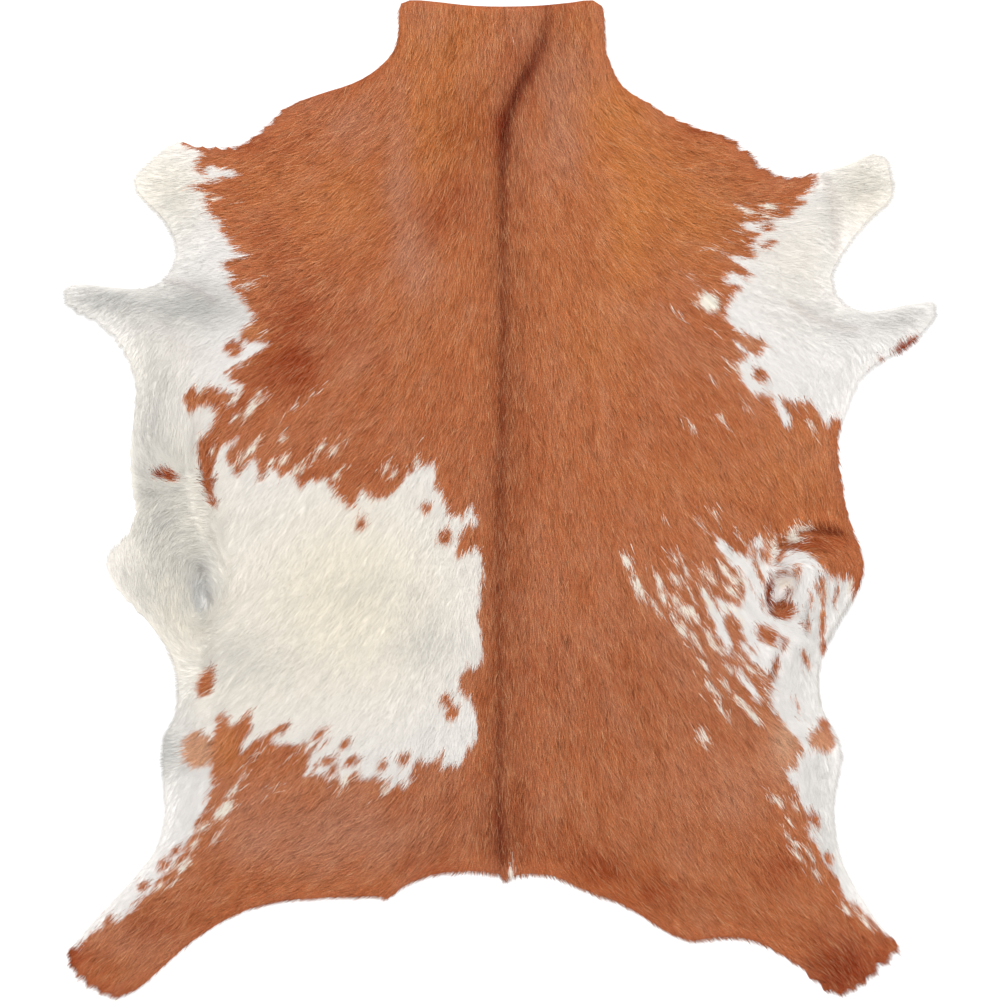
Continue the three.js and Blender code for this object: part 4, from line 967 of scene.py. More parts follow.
class Coat:
    """The hide's markings, charted and broken up along the hair."""

    DRAWN_OUT = 4.0

    def __init__(self, flow: Flow, outline: Outline) -> None:
        """Keeps the hair's flow, the rim and the noises that break up the markings."""
        self.flow = flow
        self.outline = outline
        self.clumps = StreakNoise(4.5, 11)
        self.strands = StreakNoise(1.6, 12)
        self.mottle = StreakNoise(16.0, 13)
        self.bands = StreakNoise(5.0, 14)

    def mark_depth(self, mark: Mark, places: np.ndarray) -> np.ndarray:
        """How deep each place lies in a mark, in millimetres, below 0 outside it."""
        centre = np.array([[mark.x, mark.y]], dtype=float)
        along = self.flow.at(centre)[0] if mark.heading is None else heading_vector(mark.heading)
        away = places - centre
        length = max(mark.length - self.DRAWN_OUT, 0.6 * mark.length)
        ahead = away @ along
        aside = away @ np.array([-along[1], along[0]])
        reach = np.maximum(np.hypot(ahead / (length / 2), aside / (mark.width / 2)), 1e-6)
        beyond = (1 / reach - 1) * np.hypot(0.5 * ahead, aside)
        return np.where(reach < 1, (1 - reach) * min(length, mark.width) / 2, beyond) - mark.faint

    def at(self, places: np.ndarray, scatter: np.ndarray) -> Look:
        """The colouring at each place.

        Args:
            places: Where the hair is seen, (n, 2).
            scatter: How far each hair strays over a marking's rim, in millimetres.

        Returns:
            The masks and shades at each place.
        """
        headings = self.flow.at(places)
        clumps = self.clumps.along(places, headings, 14.0)
        strands = self.strands.along(places, headings, 8.0)
        ragged = 1.0 * clumps + 0.7 * strands + 0.8 * scatter
        depth = np.full(len(places), -np.inf)
        for rim in WHITE_PATCHES.values():
            depth = np.maximum(depth, loop_distance(places, np.array(rim, dtype=float)))
        depth = depth + ragged
        fine = 0.4 * clumps + 0.3 * strands + 0.9 * scatter + 0.3
        feathery = fine + 0.5 * scatter - 0.2
        tan = np.zeros(len(places))
        creamy = np.zeros(len(places))
        for spot in BROWN_SPOTS:
            inside = self.mark_depth(spot, places) + fine
            depth = np.minimum(depth, -inside)
            tan += spot.tan * ease(inside / 7.0 + 0.4)
        for fleck in WHITE_FLECKS:
            inside = self.mark_depth(fleck, places) + feathery
            depth = np.maximum(depth, inside)
            creamy = np.maximum(creamy, ease(inside / 1.2 + 0.5))
        shades = {shade: toned(tones, places) for shade, tones in TONES.items()}
        shades[Shade.TAN] = shades[Shade.TAN] + tan
        shades[Shade.CREAM] = shades[Shade.CREAM] + 0.7 * creamy
        slow = self.mottle.along(places, headings, 24.0)
        fine = self.bands.along(places, headings, 8.0)
        shades[Shade.DEEP] = shades[Shade.DEEP] + 0.055 * slow + 0.045 * fine
        shades[Shade.ROSE] = shades[Shade.ROSE] - 0.08 * slow + 0.05 * fine
        shades[Shade.GREY] = shades[Shade.GREY] + 0.05 * fine
        white = ease(depth / 1.2 + 0.5)
        return Look(
            white=white,
            dark=self.backbone_and_crease_shade(places),
            # fold: painted shadow in the folds and along the rim, where the coat turns down
            fold=np.maximum(self.folded(places), self.rim_shade(places) * (0.42 - 0.25 * white)),
            shades={shade: np.clip(values, 0.0, 1.0) for shade, values in shades.items()},
        )

    def rim_shade(self, places: np.ndarray) -> np.ndarray:
        """How far the coat turns down and into shade near the rim: 1 at the rim itself."""
        return np.exp(-((np.maximum(self.outline.distance.at(places), 0.0) / 8.0) ** 1.5))

    @staticmethod
    def folded(places: np.ndarray) -> np.ndarray:
        """How deep each place lies in the shadow of a fold."""
        deepest = np.zeros(len(places))
        for fold in FOLDS:
            start = np.array([fold.x1, fold.y1])
            run = np.array([fold.x2, fold.y2]) - start
            share = np.clip((places - start) @ run / (run @ run), 0.0, 1.0)
            near = np.linalg.norm(places - start - share[:, None] * run, axis=1) / (0.6 * fold.width)
            deepest = np.maximum(deepest, fold.depth * np.exp(-(near**2)))
        return deepest

    @staticmethod
    def backbone_and_crease_shade(places: np.ndarray) -> np.ndarray:
        """The dark line down the spine, a soft band with a darker core, painted shade along the creases,
        and the dusk.
        """
        route = np.array(BACKBONE, dtype=float)[::-1]
        middle = np.interp(places[:, 1], route[:, 1], route[:, 0])
        away = places[:, 0] - middle
        fade = ease((places[:, 1] + 370) / 60.0)
        core = np.exp(-((away / 5.5) ** 2))
        band = np.exp(-((away / np.where(away > 0, 26.0, 17.0)) ** 2))
        creases = sum(c.shade * Relief.crease_share(c, places) for c in CREASES if c.shade > 0)
        dusk = toned(DUSK, places)
        return np.clip((0.28 * core + 0.24 * band) * fade + creases + dusk, 0.0, 1.0)


Socket = bpy.types.NodeSocket


class Tree:
    """Adds nodes to a node tree and links them by the names of their sockets."""

    def __init__(self, tree: bpy.types.NodeTree) -> None:
        """Keeps the tree and clears it."""
        self.tree = tree
        tree.nodes.clear()

    def add(
        self, kind: str, inputs: dict[str | int, object] | None = None, **settings: object
    ) -> bpy.types.Node:
        """Adds a node.

        Args:
            kind: The node's type.
            inputs: What its sockets get, by name or number: a value or another socket.
            **settings: The node's own settings.

        Returns:
            The new node.
        """
        node = self.tree.nodes.new(kind)
        for name, value in settings.items():
            setattr(node, name, value)
        self.fill(node, inputs or {})
        return node

    def fill(self, node: bpy.types.Node, inputs: dict[str | int, object]) -> None:
        """Gives a node's sockets their values or links."""
        for key, value in inputs.items():
            if isinstance(value, Socket):
                self.tree.links.new(value, node.inputs[key])
            else:
                node.inputs[key].default_value = value

    def between(self, share: Socket, first: object, second: object) -> Socket:
        """A number from first to second as share goes from 0 to 1."""
        return self.add(
            "ShaderNodeMapRange", {"Value": share, "To Min": first, "To Max": second}
        ).outputs["Result"]

    def math(self, operation: str, *values: object, clamp: bool = False) -> Socket:
        """A math node's result."""
        node = self.add("ShaderNodeMath", dict(enumerate(values)), operation=operation, use_clamp=clamp)
        return node.outputs[0]

    def mix(self, share: object, first: object, second: object, blend: str = "MIX") -> Socket:
        """A mix of two colours."""
        inputs = {0: share, 6: first, 7: second}
        node = self.add("ShaderNodeMix", inputs, data_type="RGBA", blend_type=blend, clamp_factor=True)
        return node.outputs[2]

    def attribute(self, name: str) -> Socket:
        """A number that the mesh holds at each point."""
        return self.add("ShaderNodeAttribute", attribute_name=name).outputs["Fac"]


def srgb(red: int, green: int, blue: int) -> tuple[float, float, float, float]:
    """A colour as it shows on a screen, from 0 to 255, as a shader's colour."""
    shown = np.array([red, green, blue]) / 255.0
    linear = np.where(shown <= 0.04045, shown / 12.92, ((shown + 0.055) / 1.055) ** 2.4)
    return (*(float(value) for value in linear), 1.0)


@dataclass(frozen=True)
class CoatFinish:
    """The coat's colours, and how its hair shines."""

    name: str = "goat_hair"
    brown: tuple[float, ...] = srgb(214, 126, 79)
    orange: tuple[float, ...] = srgb(232, 144, 78)
    deep: tuple[float, ...] = srgb(166, 54, 8)
    rose: tuple[float, ...] = srgb(222, 154, 122)
    # The backbone's colour, which the painted shade along the creases also darkens towards
    backbone_and_crease_shade: tuple[float, ...] = srgb(138, 54, 26)
    tan: tuple[float, ...] = srgb(238, 180, 144)
    white: tuple[float, ...] = srgb(245, 241, 237)
    cream: tuple[float, ...] = srgb(252, 243, 224)
    grey: tuple[float, ...] = srgb(198, 196, 191)
    glint: tuple[float, ...] = srgb(248, 200, 150)
    # Painted shadow colours for the folds and the rim
    brown_fold: tuple[float, ...] = srgb(134, 66, 40)
    white_fold: tuple[float, ...] = srgb(128, 122, 114)
    glint_share: float = 0.24
    brown_spread: float = 0.33
    white_spread: float = 0.03
    grey_spread: float = 0.12
    brown_grain: float = 1.6
    white_grain: float = 0.2
    # Painted shade: how dark the hair is at its root, deep in the coat, against 1 at its tip
    brown_root_shade: float = 0.62
    white_root_shade: float = 0.95
    roughness: float = 0.56
    gloss: float = 0.07

    def group(self) -> bpy.types.NodeTree:
        """The node group that turns the coat's masks into its colour."""
        tree = bpy.data.node_groups.new("coat_colour", "ShaderNodeTree")
        shade_names = [shade.value.capitalize() for shade in Shade]
        names = ("White", "Dark", "Fold", "Tint", "Along", "Grain", *shade_names)
        for name in names:
            tree.interface.new_socket(name, in_out="INPUT", socket_type="NodeSocketFloat")
        tree.interface.new_socket("Color", in_out="OUTPUT", socket_type="NodeSocketColor")
        build = Tree(tree)
        given = build.add("NodeGroupInput").outputs
        brown = build.mix(given["Orange"], self.brown, self.orange)
        brown = build.mix(given["Rose"], brown, self.rose)
        brown = build.mix(given["Deep"], brown, self.deep)
        # Dark: the backbone's line, the dusk and the painted shade along the creases
        brown = build.mix(given["Dark"], brown, self.backbone_and_crease_shade)
        brown = build.mix(given["Tan"], brown, self.tan)
        white = build.mix(given["Cream"], self.white, self.cream)
        white = build.mix(given["Grey"], white, self.grey)
        white = build.mix(build.math("MULTIPLY", given["Dark"], 0.30), white, self.backbone_and_crease_shade)
        colour = build.mix(given["White"], brown, white)
        lit = build.math("MULTIPLY", build.math("MAXIMUM", given["Tint"], 0.0), self.glint_share)
        shining = build.math("MULTIPLY", lit, build.between(given["White"], 1.0, 0.0))
        colour = build.mix(shining, colour, self.glint)
        pale = build.between(given["Grey"], self.white_spread, self.grey_spread)
        spread = build.between(given["White"], self.brown_spread, pale)
        strength = build.math("MULTIPLY_ADD", build.math("MINIMUM", given["Tint"], 0.0), spread, 1.0)
        # Painted shade: darker towards the hair's roots
        root = build.between(given["White"], self.brown_root_shade, self.white_root_shade)
        shade = build.add(
            "ShaderNodeMapRange", {"Value": given["Along"], "To Min": root}
        ).outputs["Result"]
        strength = build.math("MULTIPLY", strength, shade)
        coarse = build.between(given["White"], self.brown_grain, self.white_grain)
        mottle = build.math("MULTIPLY_ADD", build.math("SUBTRACT", given["Grain"], 0.5), coarse, 1.0)
        strength = build.math("MULTIPLY", strength, mottle)
        level = build.add("ShaderNodeCombineColor", {0: strength, 1: strength, 2: strength}).outputs[0]
        colour = build.mix(1.0, colour, level, "MULTIPLY")
        shadow = build.mix(given["White"], self.brown_fold, self.white_fold)
        colour = build.mix(given["Fold"], colour, build.mix(1.0, colour, shadow, "MULTIPLY"))
        build.add("NodeGroupOutput", {"Color": colour})
        return tree

    def material(
        self, name: str, colours: bpy.types.NodeTree, tip: float | None = None
    ) -> bpy.types.Material:
        """A material of the coat.

        Args:
            name: The material's name.
            colours: The coat's node group.
            tip: How far along the hair the surface counts, or None to read it from
                the mesh.

        Returns:
            The material.
        """
        material = bpy.data.materials.new(name)
        material.use_nodes = True
        build = Tree(material.node_tree)
        place = build.add("ShaderNodeTexCoord").outputs["Object"]
        names = ("white", "dark", "fold", "tint", *(shade.value for shade in Shade))
        masks: dict[str, object] = {name.capitalize(): build.attribute(name) for name in names}
        masks["Along"] = build.attribute("along") if tip is None else tip
        grain = build.add(
            "ShaderNodeTexNoise", {"Vector": place, "Scale": 1100.0, "Detail": 2.0}
        ).outputs["Fac"]
        masks["Grain"] = grain
        group = build.add("ShaderNodeGroup", node_tree=colours)
        build.fill(group, masks)
        rough = build.add(
            "ShaderNodeMapRange",
            {"Value": grain, "To Min": self.roughness - 0.08, "To Max": self.roughness + 0.10},
        ).outputs["Result"]
        bump = build.add(
            "ShaderNodeBump", {"Strength": 0.25, "Distance": 0.0004, "Height": grain}
        ).outputs["Normal"]
        shader = build.add(
            "ShaderNodeBsdfPrincipled",
            {
                "Base Color": group.outputs["Color"],
                "Roughness": rough,
                "Normal": bump,
                "Specular IOR Level": self.gloss,
            },
        )
        build.add("ShaderNodeOutputMaterial", {"Surface": shader.outputs["BSDF"]})
        return material


@dataclass(frozen=True)
class FleshFinish:
    """The sueded flesh side of the leather."""

    name: str = "flesh_side"
    pale: tuple[float, ...] = srgb(232, 216, 190)
    warm: tuple[float, ...] = srgb(206, 178, 142)
    vein: tuple[float, ...] = srgb(178, 146, 112)
    roughness: float = 0.88

    def material(self) -> bpy.types.Material:
        """The material, mottled, faintly veined and with a suede's nap."""
        material = bpy.data.materials.new(self.name)
        material.use_nodes = True
        build = Tree(material.node_tree)
        place = build.add("ShaderNodeTexCoord").outputs["Object"]
        mottle = build.add(
            "ShaderNodeTexNoise", {"Vector": place, "Scale": 14.0, "Detail": 5.0}
        ).outputs["Fac"]
        cloud = build.add(
            "ShaderNodeMapRange", {"Value": mottle, "From Min": 0.35, "From Max": 0.70}
        ).outputs["Result"]
        colour = build.mix(cloud, self.pale, self.warm)
        bent = build.add(
            "ShaderNodeTexNoise", {"Vector": place, "Scale": 6.0, "Detail": 2.0}
        ).outputs["Color"]
        strayed = build.add(
            "ShaderNodeVectorMath", {0: place, 1: bent}, operation="ADD"
        ).outputs["Vector"]
        cells = build.add(
            "ShaderNodeTexVoronoi", {"Vector": strayed, "Scale": 11.0}, feature="DISTANCE_TO_EDGE"
        ).outputs["Distance"]
        veins = build.add(
            "ShaderNodeMapRange", {"Value": cells, "From Max": 0.05, "To Min": 0.32, "To Max": 0.0}
        ).outputs["Result"]
        colour = build.mix(veins, colour, self.vein)
        nap = build.add(
            "ShaderNodeTexNoise", {"Vector": place, "Scale": 700.0, "Detail": 3.0}
        ).outputs["Fac"]
        colour = build.mix(build.math("MULTIPLY", nap, 0.16), colour, self.warm)
        rough = build.add(
            "ShaderNodeMapRange",
            {"Value": nap, "To Min": self.roughness - 0.08, "To Max": self.roughness + 0.08},
        ).outputs["Result"]
        bump = build.add(
            "ShaderNodeBump", {"Strength": 0.5, "Distance": 0.0005, "Height": nap}
        ).outputs["Normal"]
        shader = build.add(
            "ShaderNodeBsdfPrincipled",
            {
                "Base Color": colour, "Roughness": rough, "Normal": bump,
                "Specular IOR Level": 0.2, "Sheen Weight": 0.2,
            },
        )
        build.add("ShaderNodeOutputMaterial", {"Surface": shader.outputs["BSDF"]})
        return material


def write_look(mesh: bpy.types.Mesh, look: Look, tint: np.ndarray) -> None:
    """Keeps the coat's colouring on a mesh, one value for each of its points."""
    for name, numbers in {**look.masks(), "tint": tint}.items():
        mesh.attributes.new(name, "FLOAT", "POINT").data.foreach_set("value", numbers.astype(np.float32))


def add_object(name: str, mesh: bpy.types.Mesh) -> bpy.types.Object:
    """Puts a mesh into the scene as an object at the origin."""
    piece = bpy.data.objects.new(name, mesh)
    bpy.context.scene.collection.objects.link(piece)
    return piece


@dataclass
class Hide:
    """What every part of the rug is built on: rim, relief, flow and markings."""

    outline: Outline
    relief: Relief
    flow: Flow
    coat: Coat


@dataclass
class HideLeather:
    """The leather: one thin closed sheet with the hair side up."""

    hide: Hide
    top_step: float = 4.0
    foot_step: float = 8.0
    rim_step: float = 3.0
    cut_slant: float = 0.6

    def ring(self, further: float = 0.0) -> np.ndarray:
        """The leather's own edge, anticlockwise, or a ring further in."""
        rim = self.hide.outline.evenly(self.rim_step)
        headings = self.hide.flow.at(rim)
        inward = self.hide.outline.inward(rim)
        inset = self.hide.outline.leather_inset(rim, headings) + toned(TUCKS, rim) + further
        return rim + inward * inset[:, None]

    def filled(self, ring: np.ndarray, step: float) -> tuple[np.ndarray, list[list[int]]]:
        """Triangles that fill the ring.

        Args:
            ring: The edge's points, (n, 2).
            step: The spacing of the points inside it.

        Returns:
            The points, the ring's first, and the triangles' corners.
        """
        low, high = ring.min(axis=0), ring.max(axis=0)
        places, (rows, columns) = Grid.places(low, high, step)
        shift = (np.repeat(np.arange(rows), columns) % 2) * step / 2
        places = places + np.stack([shift, np.zeros(len(places))], axis=1)
        inside = loop_distance(places, ring) > step * 0.45
        points = np.vstack([ring, places[inside]])
        face = [list(range(len(ring)))]
        corners, _, faces, _, _, _ = delaunay_2d_cdt([Vector(point) for point in points], [], face, 1, 1e-5)
        if len(corners) != len(points):
            raise ValueError("the leather's edge crosses itself")
        return points, faces

    def build(self) -> bpy.types.Object:
        """Builds the leather, coloured as the coat on top, each face set to the hair side's or the flesh
        side's material index.
        """
        relief = self.hide.relief
        ring = self.ring()
        top, top_faces = self.filled(self.ring(self.cut_slant), self.top_step)
        foot, foot_faces = self.filled(ring, self.foot_step)
        top_height = relief.leather_top(top)
        foot_height = relief.leather_foot(foot)
        points = np.vstack([np.column_stack([top, top_height]), np.column_stack([foot, foot_height])]) * MM
        first = len(top)
        count = len(ring)
        faces = [tuple(face) for face in top_faces]
        faces += [tuple(first + corner for corner in reversed(face)) for face in foot_faces]
        for index in range(count):
            onward = (index + 1) % count
            faces.append((index, first + index, first + onward, onward))
        mesh = bpy.data.meshes.new("hide_leather")
        mesh.from_pydata(points.tolist(), [], faces)
        slots = np.ones(len(faces), dtype=np.int32)
        hair_side = 0
        slots[: len(top_faces)] = hair_side
        slots[-count:] = hair_side
        mesh.polygons.foreach_set("material_index", slots)
        mesh.shade_smooth()
        mesh.set_sharp_from_angle(angle=np.radians(50))
        places = np.vstack([top, foot])
        write_look(mesh, self.hide.coat.at(places, np.zeros(len(places))), np.zeros(len(places)))
        mesh.validate()
        return add_object("hide_leather", mesh)

    def area(self) -> float:
        """The cut hide's flat area in square metres."""
        ring = self.ring() * MM
        ahead = np.roll(ring, -1, axis=0)
        return float((ring[:, 0] * ahead[:, 1] - ahead[:, 0] * ring[:, 1]).sum() / 2)

    def flat(self) -> tuple[float, float]:
        """The cut hide's width and length in metres."""
        width, length = np.ptp(self.ring(), axis=0) * MM
        return float(width), float(length)


@dataclass(frozen=True)
class StrandShape:
    """The shape that is repeated for each lock of hair."""

    tree_name: str
    segments: int
    bend: float
    flatness: float
    seed: int

    def tree(self, material: bpy.types.Material) -> bpy.types.NodeTree:
        """A tree that stands a tapering, three-sided lock on each point.

        Each point holds reach, from the lock's root to its tip, and girth, half its
        width at the root.

        Args:
            material: What the locks are made of.

        Returns:
            The tree, with the named inputs Bend and Flatness.
        """
        tree = bpy.data.node_groups.new(self.tree_name, "GeometryNodeTree")
        tree.is_modifier = True
        tree.interface.new_socket("Roots", in_out="INPUT", socket_type="NodeSocketGeometry")
        tree.interface.new_socket("Bend", in_out="INPUT", socket_type="NodeSocketFloat")
        tree.interface.new_socket("Flatness", in_out="INPUT", socket_type="NodeSocketFloat")
        tree.interface.new_socket("Locks", in_out="OUTPUT", socket_type="NodeSocketGeometry")
        build = Tree(tree)
        given = build.add("NodeGroupInput").outputs
        cone = build.add(
            "GeometryNodeMeshCone",
            {
                "Vertices": 3, "Side Segments": self.segments, "Radius Top": 0.0,
                "Radius Bottom": 1.0, "Depth": 1.0,
            },
            fill_type="NGON",
        ).outputs["Mesh"]
        place = build.add("GeometryNodeInputPosition").outputs["Position"]
        along = build.add("ShaderNodeSeparateXYZ", {"Vector": place}).outputs["Z"]
        cone = build.add(
            "GeometryNodeStoreNamedAttribute",
            {"Geometry": cone, "Name": "along", "Value": along},
            data_type="FLOAT",
            domain="POINT",
        ).outputs["Geometry"]
        belly = build.math("MULTIPLY", along, build.math("SUBTRACT", 1.0, along))
        offset = build.add("ShaderNodeCombineXYZ", {"X": build.math("MULTIPLY", belly, given["Bend"])})
        cone = build.add(
            "GeometryNodeSetPosition", {"Geometry": cone, "Offset": offset.outputs["Vector"]}
        ).outputs["Geometry"]
        reach = build.add(
            "GeometryNodeInputNamedAttribute", {"Name": "reach"}, data_type="FLOAT_VECTOR"
        ).outputs["Attribute"]
        girth = build.add(
            "GeometryNodeInputNamedAttribute", {"Name": "girth"}, data_type="FLOAT"
        ).outputs["Attribute"]
        aimed = build.add(
            "FunctionNodeAlignRotationToVector", {"Vector": reach}, axis="Z"
        ).outputs["Rotation"]
        spin = build.add(
            "FunctionNodeRandomValue", {"Min": 0.0, "Max": 6.2832, "Seed": self.seed}, data_type="FLOAT"
        )
        roll = build.add(
            "FunctionNodeAxisAngleToRotation", {"Axis": (0.0, 0.0, 1.0), "Angle": spin.outputs[1]}
        ).outputs["Rotation"]
        rotation = build.add(
            "FunctionNodeRotateRotation", {"Rotation": aimed, "Rotate By": roll}, rotation_space="LOCAL"
        ).outputs["Rotation"]
        length = build.add("ShaderNodeVectorMath", {0: reach}, operation="LENGTH").outputs["Value"]
        thin = build.math("MULTIPLY", girth, given["Flatness"])
        scale = build.add("ShaderNodeCombineXYZ", {"X": girth, "Y": thin, "Z": length}).outputs["Vector"]
        locks = build.add(
            "GeometryNodeInstanceOnPoints",
            {"Points": given["Roots"], "Instance": cone, "Rotation": rotation, "Scale": scale},
        ).outputs["Instances"]
        real = build.add("GeometryNodeRealizeInstances", {"Geometry": locks}).outputs["Geometry"]
        dressed = build.add(
            "GeometryNodeSetMaterial", {"Geometry": real, "Material": material}
        ).outputs["Geometry"]
        build.add("NodeGroupOutput", {"Locks": dressed})
        return tree

    def grow(self, name: str, roots: bpy.types.Mesh, tree: bpy.types.NodeTree) -> bpy.types.Object:
        """Grows a lock on each root and returns them as one plain mesh.

        Args:
            name: The piece's name.
            roots: The points, with what each lock needs as attributes.
            tree: The tree from tree().

        Returns:
            The piece.
        """
        piece = add_object(name, roots)
        modifier = piece.modifiers.new("locks", "NODES")
        modifier.node_group = tree
        wanted = {"Bend": self.bend, "Flatness": self.flatness}
        for item in tree.interface.items_tree:
            if item.name in wanted:
                modifier[item.identifier] = wanted[item.name]
        depsgraph = bpy.context.evaluated_depsgraph_get()
        grown = bpy.data.meshes.new_from_object(
            piece.evaluated_get(depsgraph), preserve_all_data_layers=True, depsgraph=depsgraph
        )
        piece.modifiers.remove(modifier)
        piece.data = grown
        grown.name = name
        bpy.data.meshes.remove(roots)
        return piece


@dataclass
class Strands:
    """Roots, tips and thickness of many locks, before they are grown."""

    roots: np.ndarray
    tips: np.ndarray
    girth: np.ndarray
    look: Look
    tint: np.ndarray

    def chosen(self, wanted: np.ndarray) -> "Strands":
        """The strands for which wanted is true."""
        look = self.look.chosen(wanted)
        return Strands(self.roots[wanted], self.tips[wanted], self.girth[wanted], look, self.tint[wanted])

    def mesh(self, name: str) -> bpy.types.Mesh:
        """The roots as points that hold what the tree reads."""
        mesh = bpy.data.meshes.new(name + "_roots")
        mesh.vertices.add(len(self.roots))
        mesh.vertices.foreach_set("co", (self.roots * MM).astype(np.float32).ravel())
        reach = mesh.attributes.new("reach", "FLOAT_VECTOR", "POINT")
        reach.data.foreach_set("vector", ((self.tips - self.roots) * MM).astype(np.float32).ravel())
        girths = (self.girth * MM).astype(np.float32)
        mesh.attributes.new("girth", "FLOAT", "POINT").data.foreach_set("value", girths)
        write_look(mesh, self.look, self.tint)
        cell = mesh.attributes.new("cell", "FLOAT", "POINT")
        cell.data.foreach_set("value", np.arange(len(self.roots), dtype=np.float32))
        return mesh


def soften(mesh: bpy.types.Mesh, relief: Relief, brown: float = 0.7, white: float = 0.86) -> None:
    """Turns the locks' normals towards the coat's surface, as light passes from hair to hair.

    Args:
        mesh: The grown locks.
        relief: The coat's surface.
        brown: How far brown hair turns: 0 not at all, 1 wholly.
        white: How far white hair turns.
    """
    mesh.shade_smooth()
    count = len(mesh.vertices)
    points = np.empty(count * 3, dtype=np.float32)
    own = np.empty(count * 3, dtype=np.float32)
    mesh.vertices.foreach_get("co", points)
    mesh.vertices.foreach_get("normal", own)
    upward = relief.upward(points.reshape(count, 3)[:, :2].astype(float) / MM)
    whiteness = np.empty(count, dtype=np.float32)
    mesh.attributes["white"].data.foreach_get("value", whiteness)
    share = (brown + (white - brown) * whiteness)[:, None]
    blended = unit((1 - share) * own.reshape(count, 3) + share * upward)
    mesh.normals_split_custom_set_from_vertices(blended.astype(np.float32))


def lay_out_cells(mesh: bpy.types.Mesh, count: int) -> None:
    """Gives each lock a cell of its own in the UV map OFBake.

    Args:
        mesh: The grown locks, whose points hold cell, the lock's number, and along.
        count: How many locks there are.
    """
    side = int(np.ceil(np.sqrt(count)))
    cell = np.empty(len(mesh.vertices), dtype=np.float32)
    along = np.empty(len(mesh.vertices), dtype=np.float32)
    mesh.attributes["cell"].data.foreach_get("value", cell)
    mesh.attributes["along"].data.foreach_get("value", along)
    corners = np.empty(len(mesh.loops), dtype=np.int32)
    mesh.loops.foreach_get("vertex_index", corners)
    number = cell[corners].round().astype(int)
    starts = np.empty(len(mesh.polygons), dtype=np.int32)
    mesh.polygons.foreach_get("loop_start", starts)
    turn = np.arange(len(corners)) - np.repeat(starts, np.diff(np.append(starts, len(corners))))
    u = 0.12 + 0.76 * (turn % 2)
    v = 0.12 + 0.76 * along[corners]
    flat_face = turn == 2
    u = np.where(flat_face, 0.5, u)
    layer = mesh.uv_layers.new(name="OFBake")
    places = np.stack([(number % side + u) / side, (number // side + v) / side], axis=1)
    layer.uv.foreach_set("vector", places.astype(np.float32).ravel())
    mesh.attributes.remove(mesh.attributes["cell"])


@dataclass
class HairCoat:
    """The coat: short locks that lie along the flow, thick enough to hide the leather."""

    hide: Hide
    shape: StrandShape = StrandShape("short_locks", 1, 0.0, 0.55, 3)
    spacing: float = 1.52
    jitter: float = 0.62
    length: float = 10.6
    length_spread: float = 2.4
    girth: float = 0.42
    overhang: float = 1.7
    seed: int = 7

    def strands(self) -> Strands:
        """Every lock of the coat, with its place, reach and colouring."""
        random = np.random.default_rng(self.seed)
        outline, relief, flow = self.hide.outline, self.hide.relief, self.hide.flow
        low, high = outline.loop.min(axis=0), outline.loop.max(axis=0)
        places, (rows, columns) = Grid.places(low, high, self.spacing)
        shift = (np.repeat(np.arange(rows), columns) % 2) * self.spacing / 2
        places = places + np.stack([shift, np.zeros(len(places))], axis=1)
        places += random.uniform(-self.jitter, self.jitter, places.shape)
        places = places[outline.distance.at(places) > 0.2]
        headings = flow.at(places)
        kept = outline.distance.at(places) > outline.bare_rim(places, headings)
        places, headings = places[kept], headings[kept]
        count = len(places)
        clumped = StreakNoise(5.0, 21).along(places, headings, 10.0)
        angles = np.radians(11.5) * random.standard_normal(count) + np.radians(3.5) * clumped
        headings = turned(headings, angles)
        length = np.clip(self.length + self.length_spread * random.standard_normal(count), 5.0, 17.0)
        length = self.held_back(places, headings, length, random.uniform(0.0, 2 * self.overhang, count))
        tips = places + headings * length[:, None]
        height = random.uniform(0.45, 1.0, count)
        roots_z = relief.leather_top(places) - 0.22
        tips_z = np.maximum(relief.leather_top(tips) + relief.nap(tips) * height - 0.2, 0.5)
        seen = places + headings * (0.55 * length)[:, None]
        look = self.hide.coat.at(seen, np.clip(0.9 * random.standard_t(3.0, count), -6.0, 6.0))
        tint = np.clip(0.85 * random.standard_normal(count) + 0.15 * clumped, -2.0, 2.4)
        girth = self.girth * random.uniform(0.7, 1.3, count)
        return Strands(
            np.column_stack([places, roots_z]), np.column_stack([tips, tips_z]), girth, look, tint
        )

    def held_back(
        self, places: np.ndarray, headings: np.ndarray, length: np.ndarray, overhang: np.ndarray
    ) -> np.ndarray:
        """Lengths cut so that no tip stands further over the rim than its overhang.

        Args:
            places: The roots, (n, 2).
            headings: The directions, (n, 2).
            length: The full lengths.
            overhang: How far each tip may stand over the rim.

        Returns:
            The lengths that stay within it.
        """
        distance = self.hide.outline.distance
        shortest = np.minimum(length, 1.5)
        low, high = shortest, length.copy()
        over = distance.at(places + headings * high[:, None]) < -overhang
        for _ in range(7):
            middle = (low + high) / 2
            beyond = distance.at(places + headings * middle[:, None]) < -overhang
            high = np.where(beyond, middle, high)
            low = np.where(beyond, low, middle)
        return np.where(over, low, length)

    def build(self, material: bpy.types.Material) -> list[bpy.types.Object]:
        """Grows the coat, one piece for each region."""
        strands = self.strands()
        tree = self.shape.tree(material)
        pieces = []
        above = np.inf
        for region in Region:
            y = strands.roots[:, 1]
            chosen = strands.chosen((y < above) & (y >= region.lowest))
            above = region.lowest
            piece = self.shape.grow(region.piece, chosen.mesh(region.piece), tree)
            lay_out_cells(piece.data, len(chosen.roots))
            soften(piece.data, self.hide.relief)
            pieces.append(piece)
        return pieces


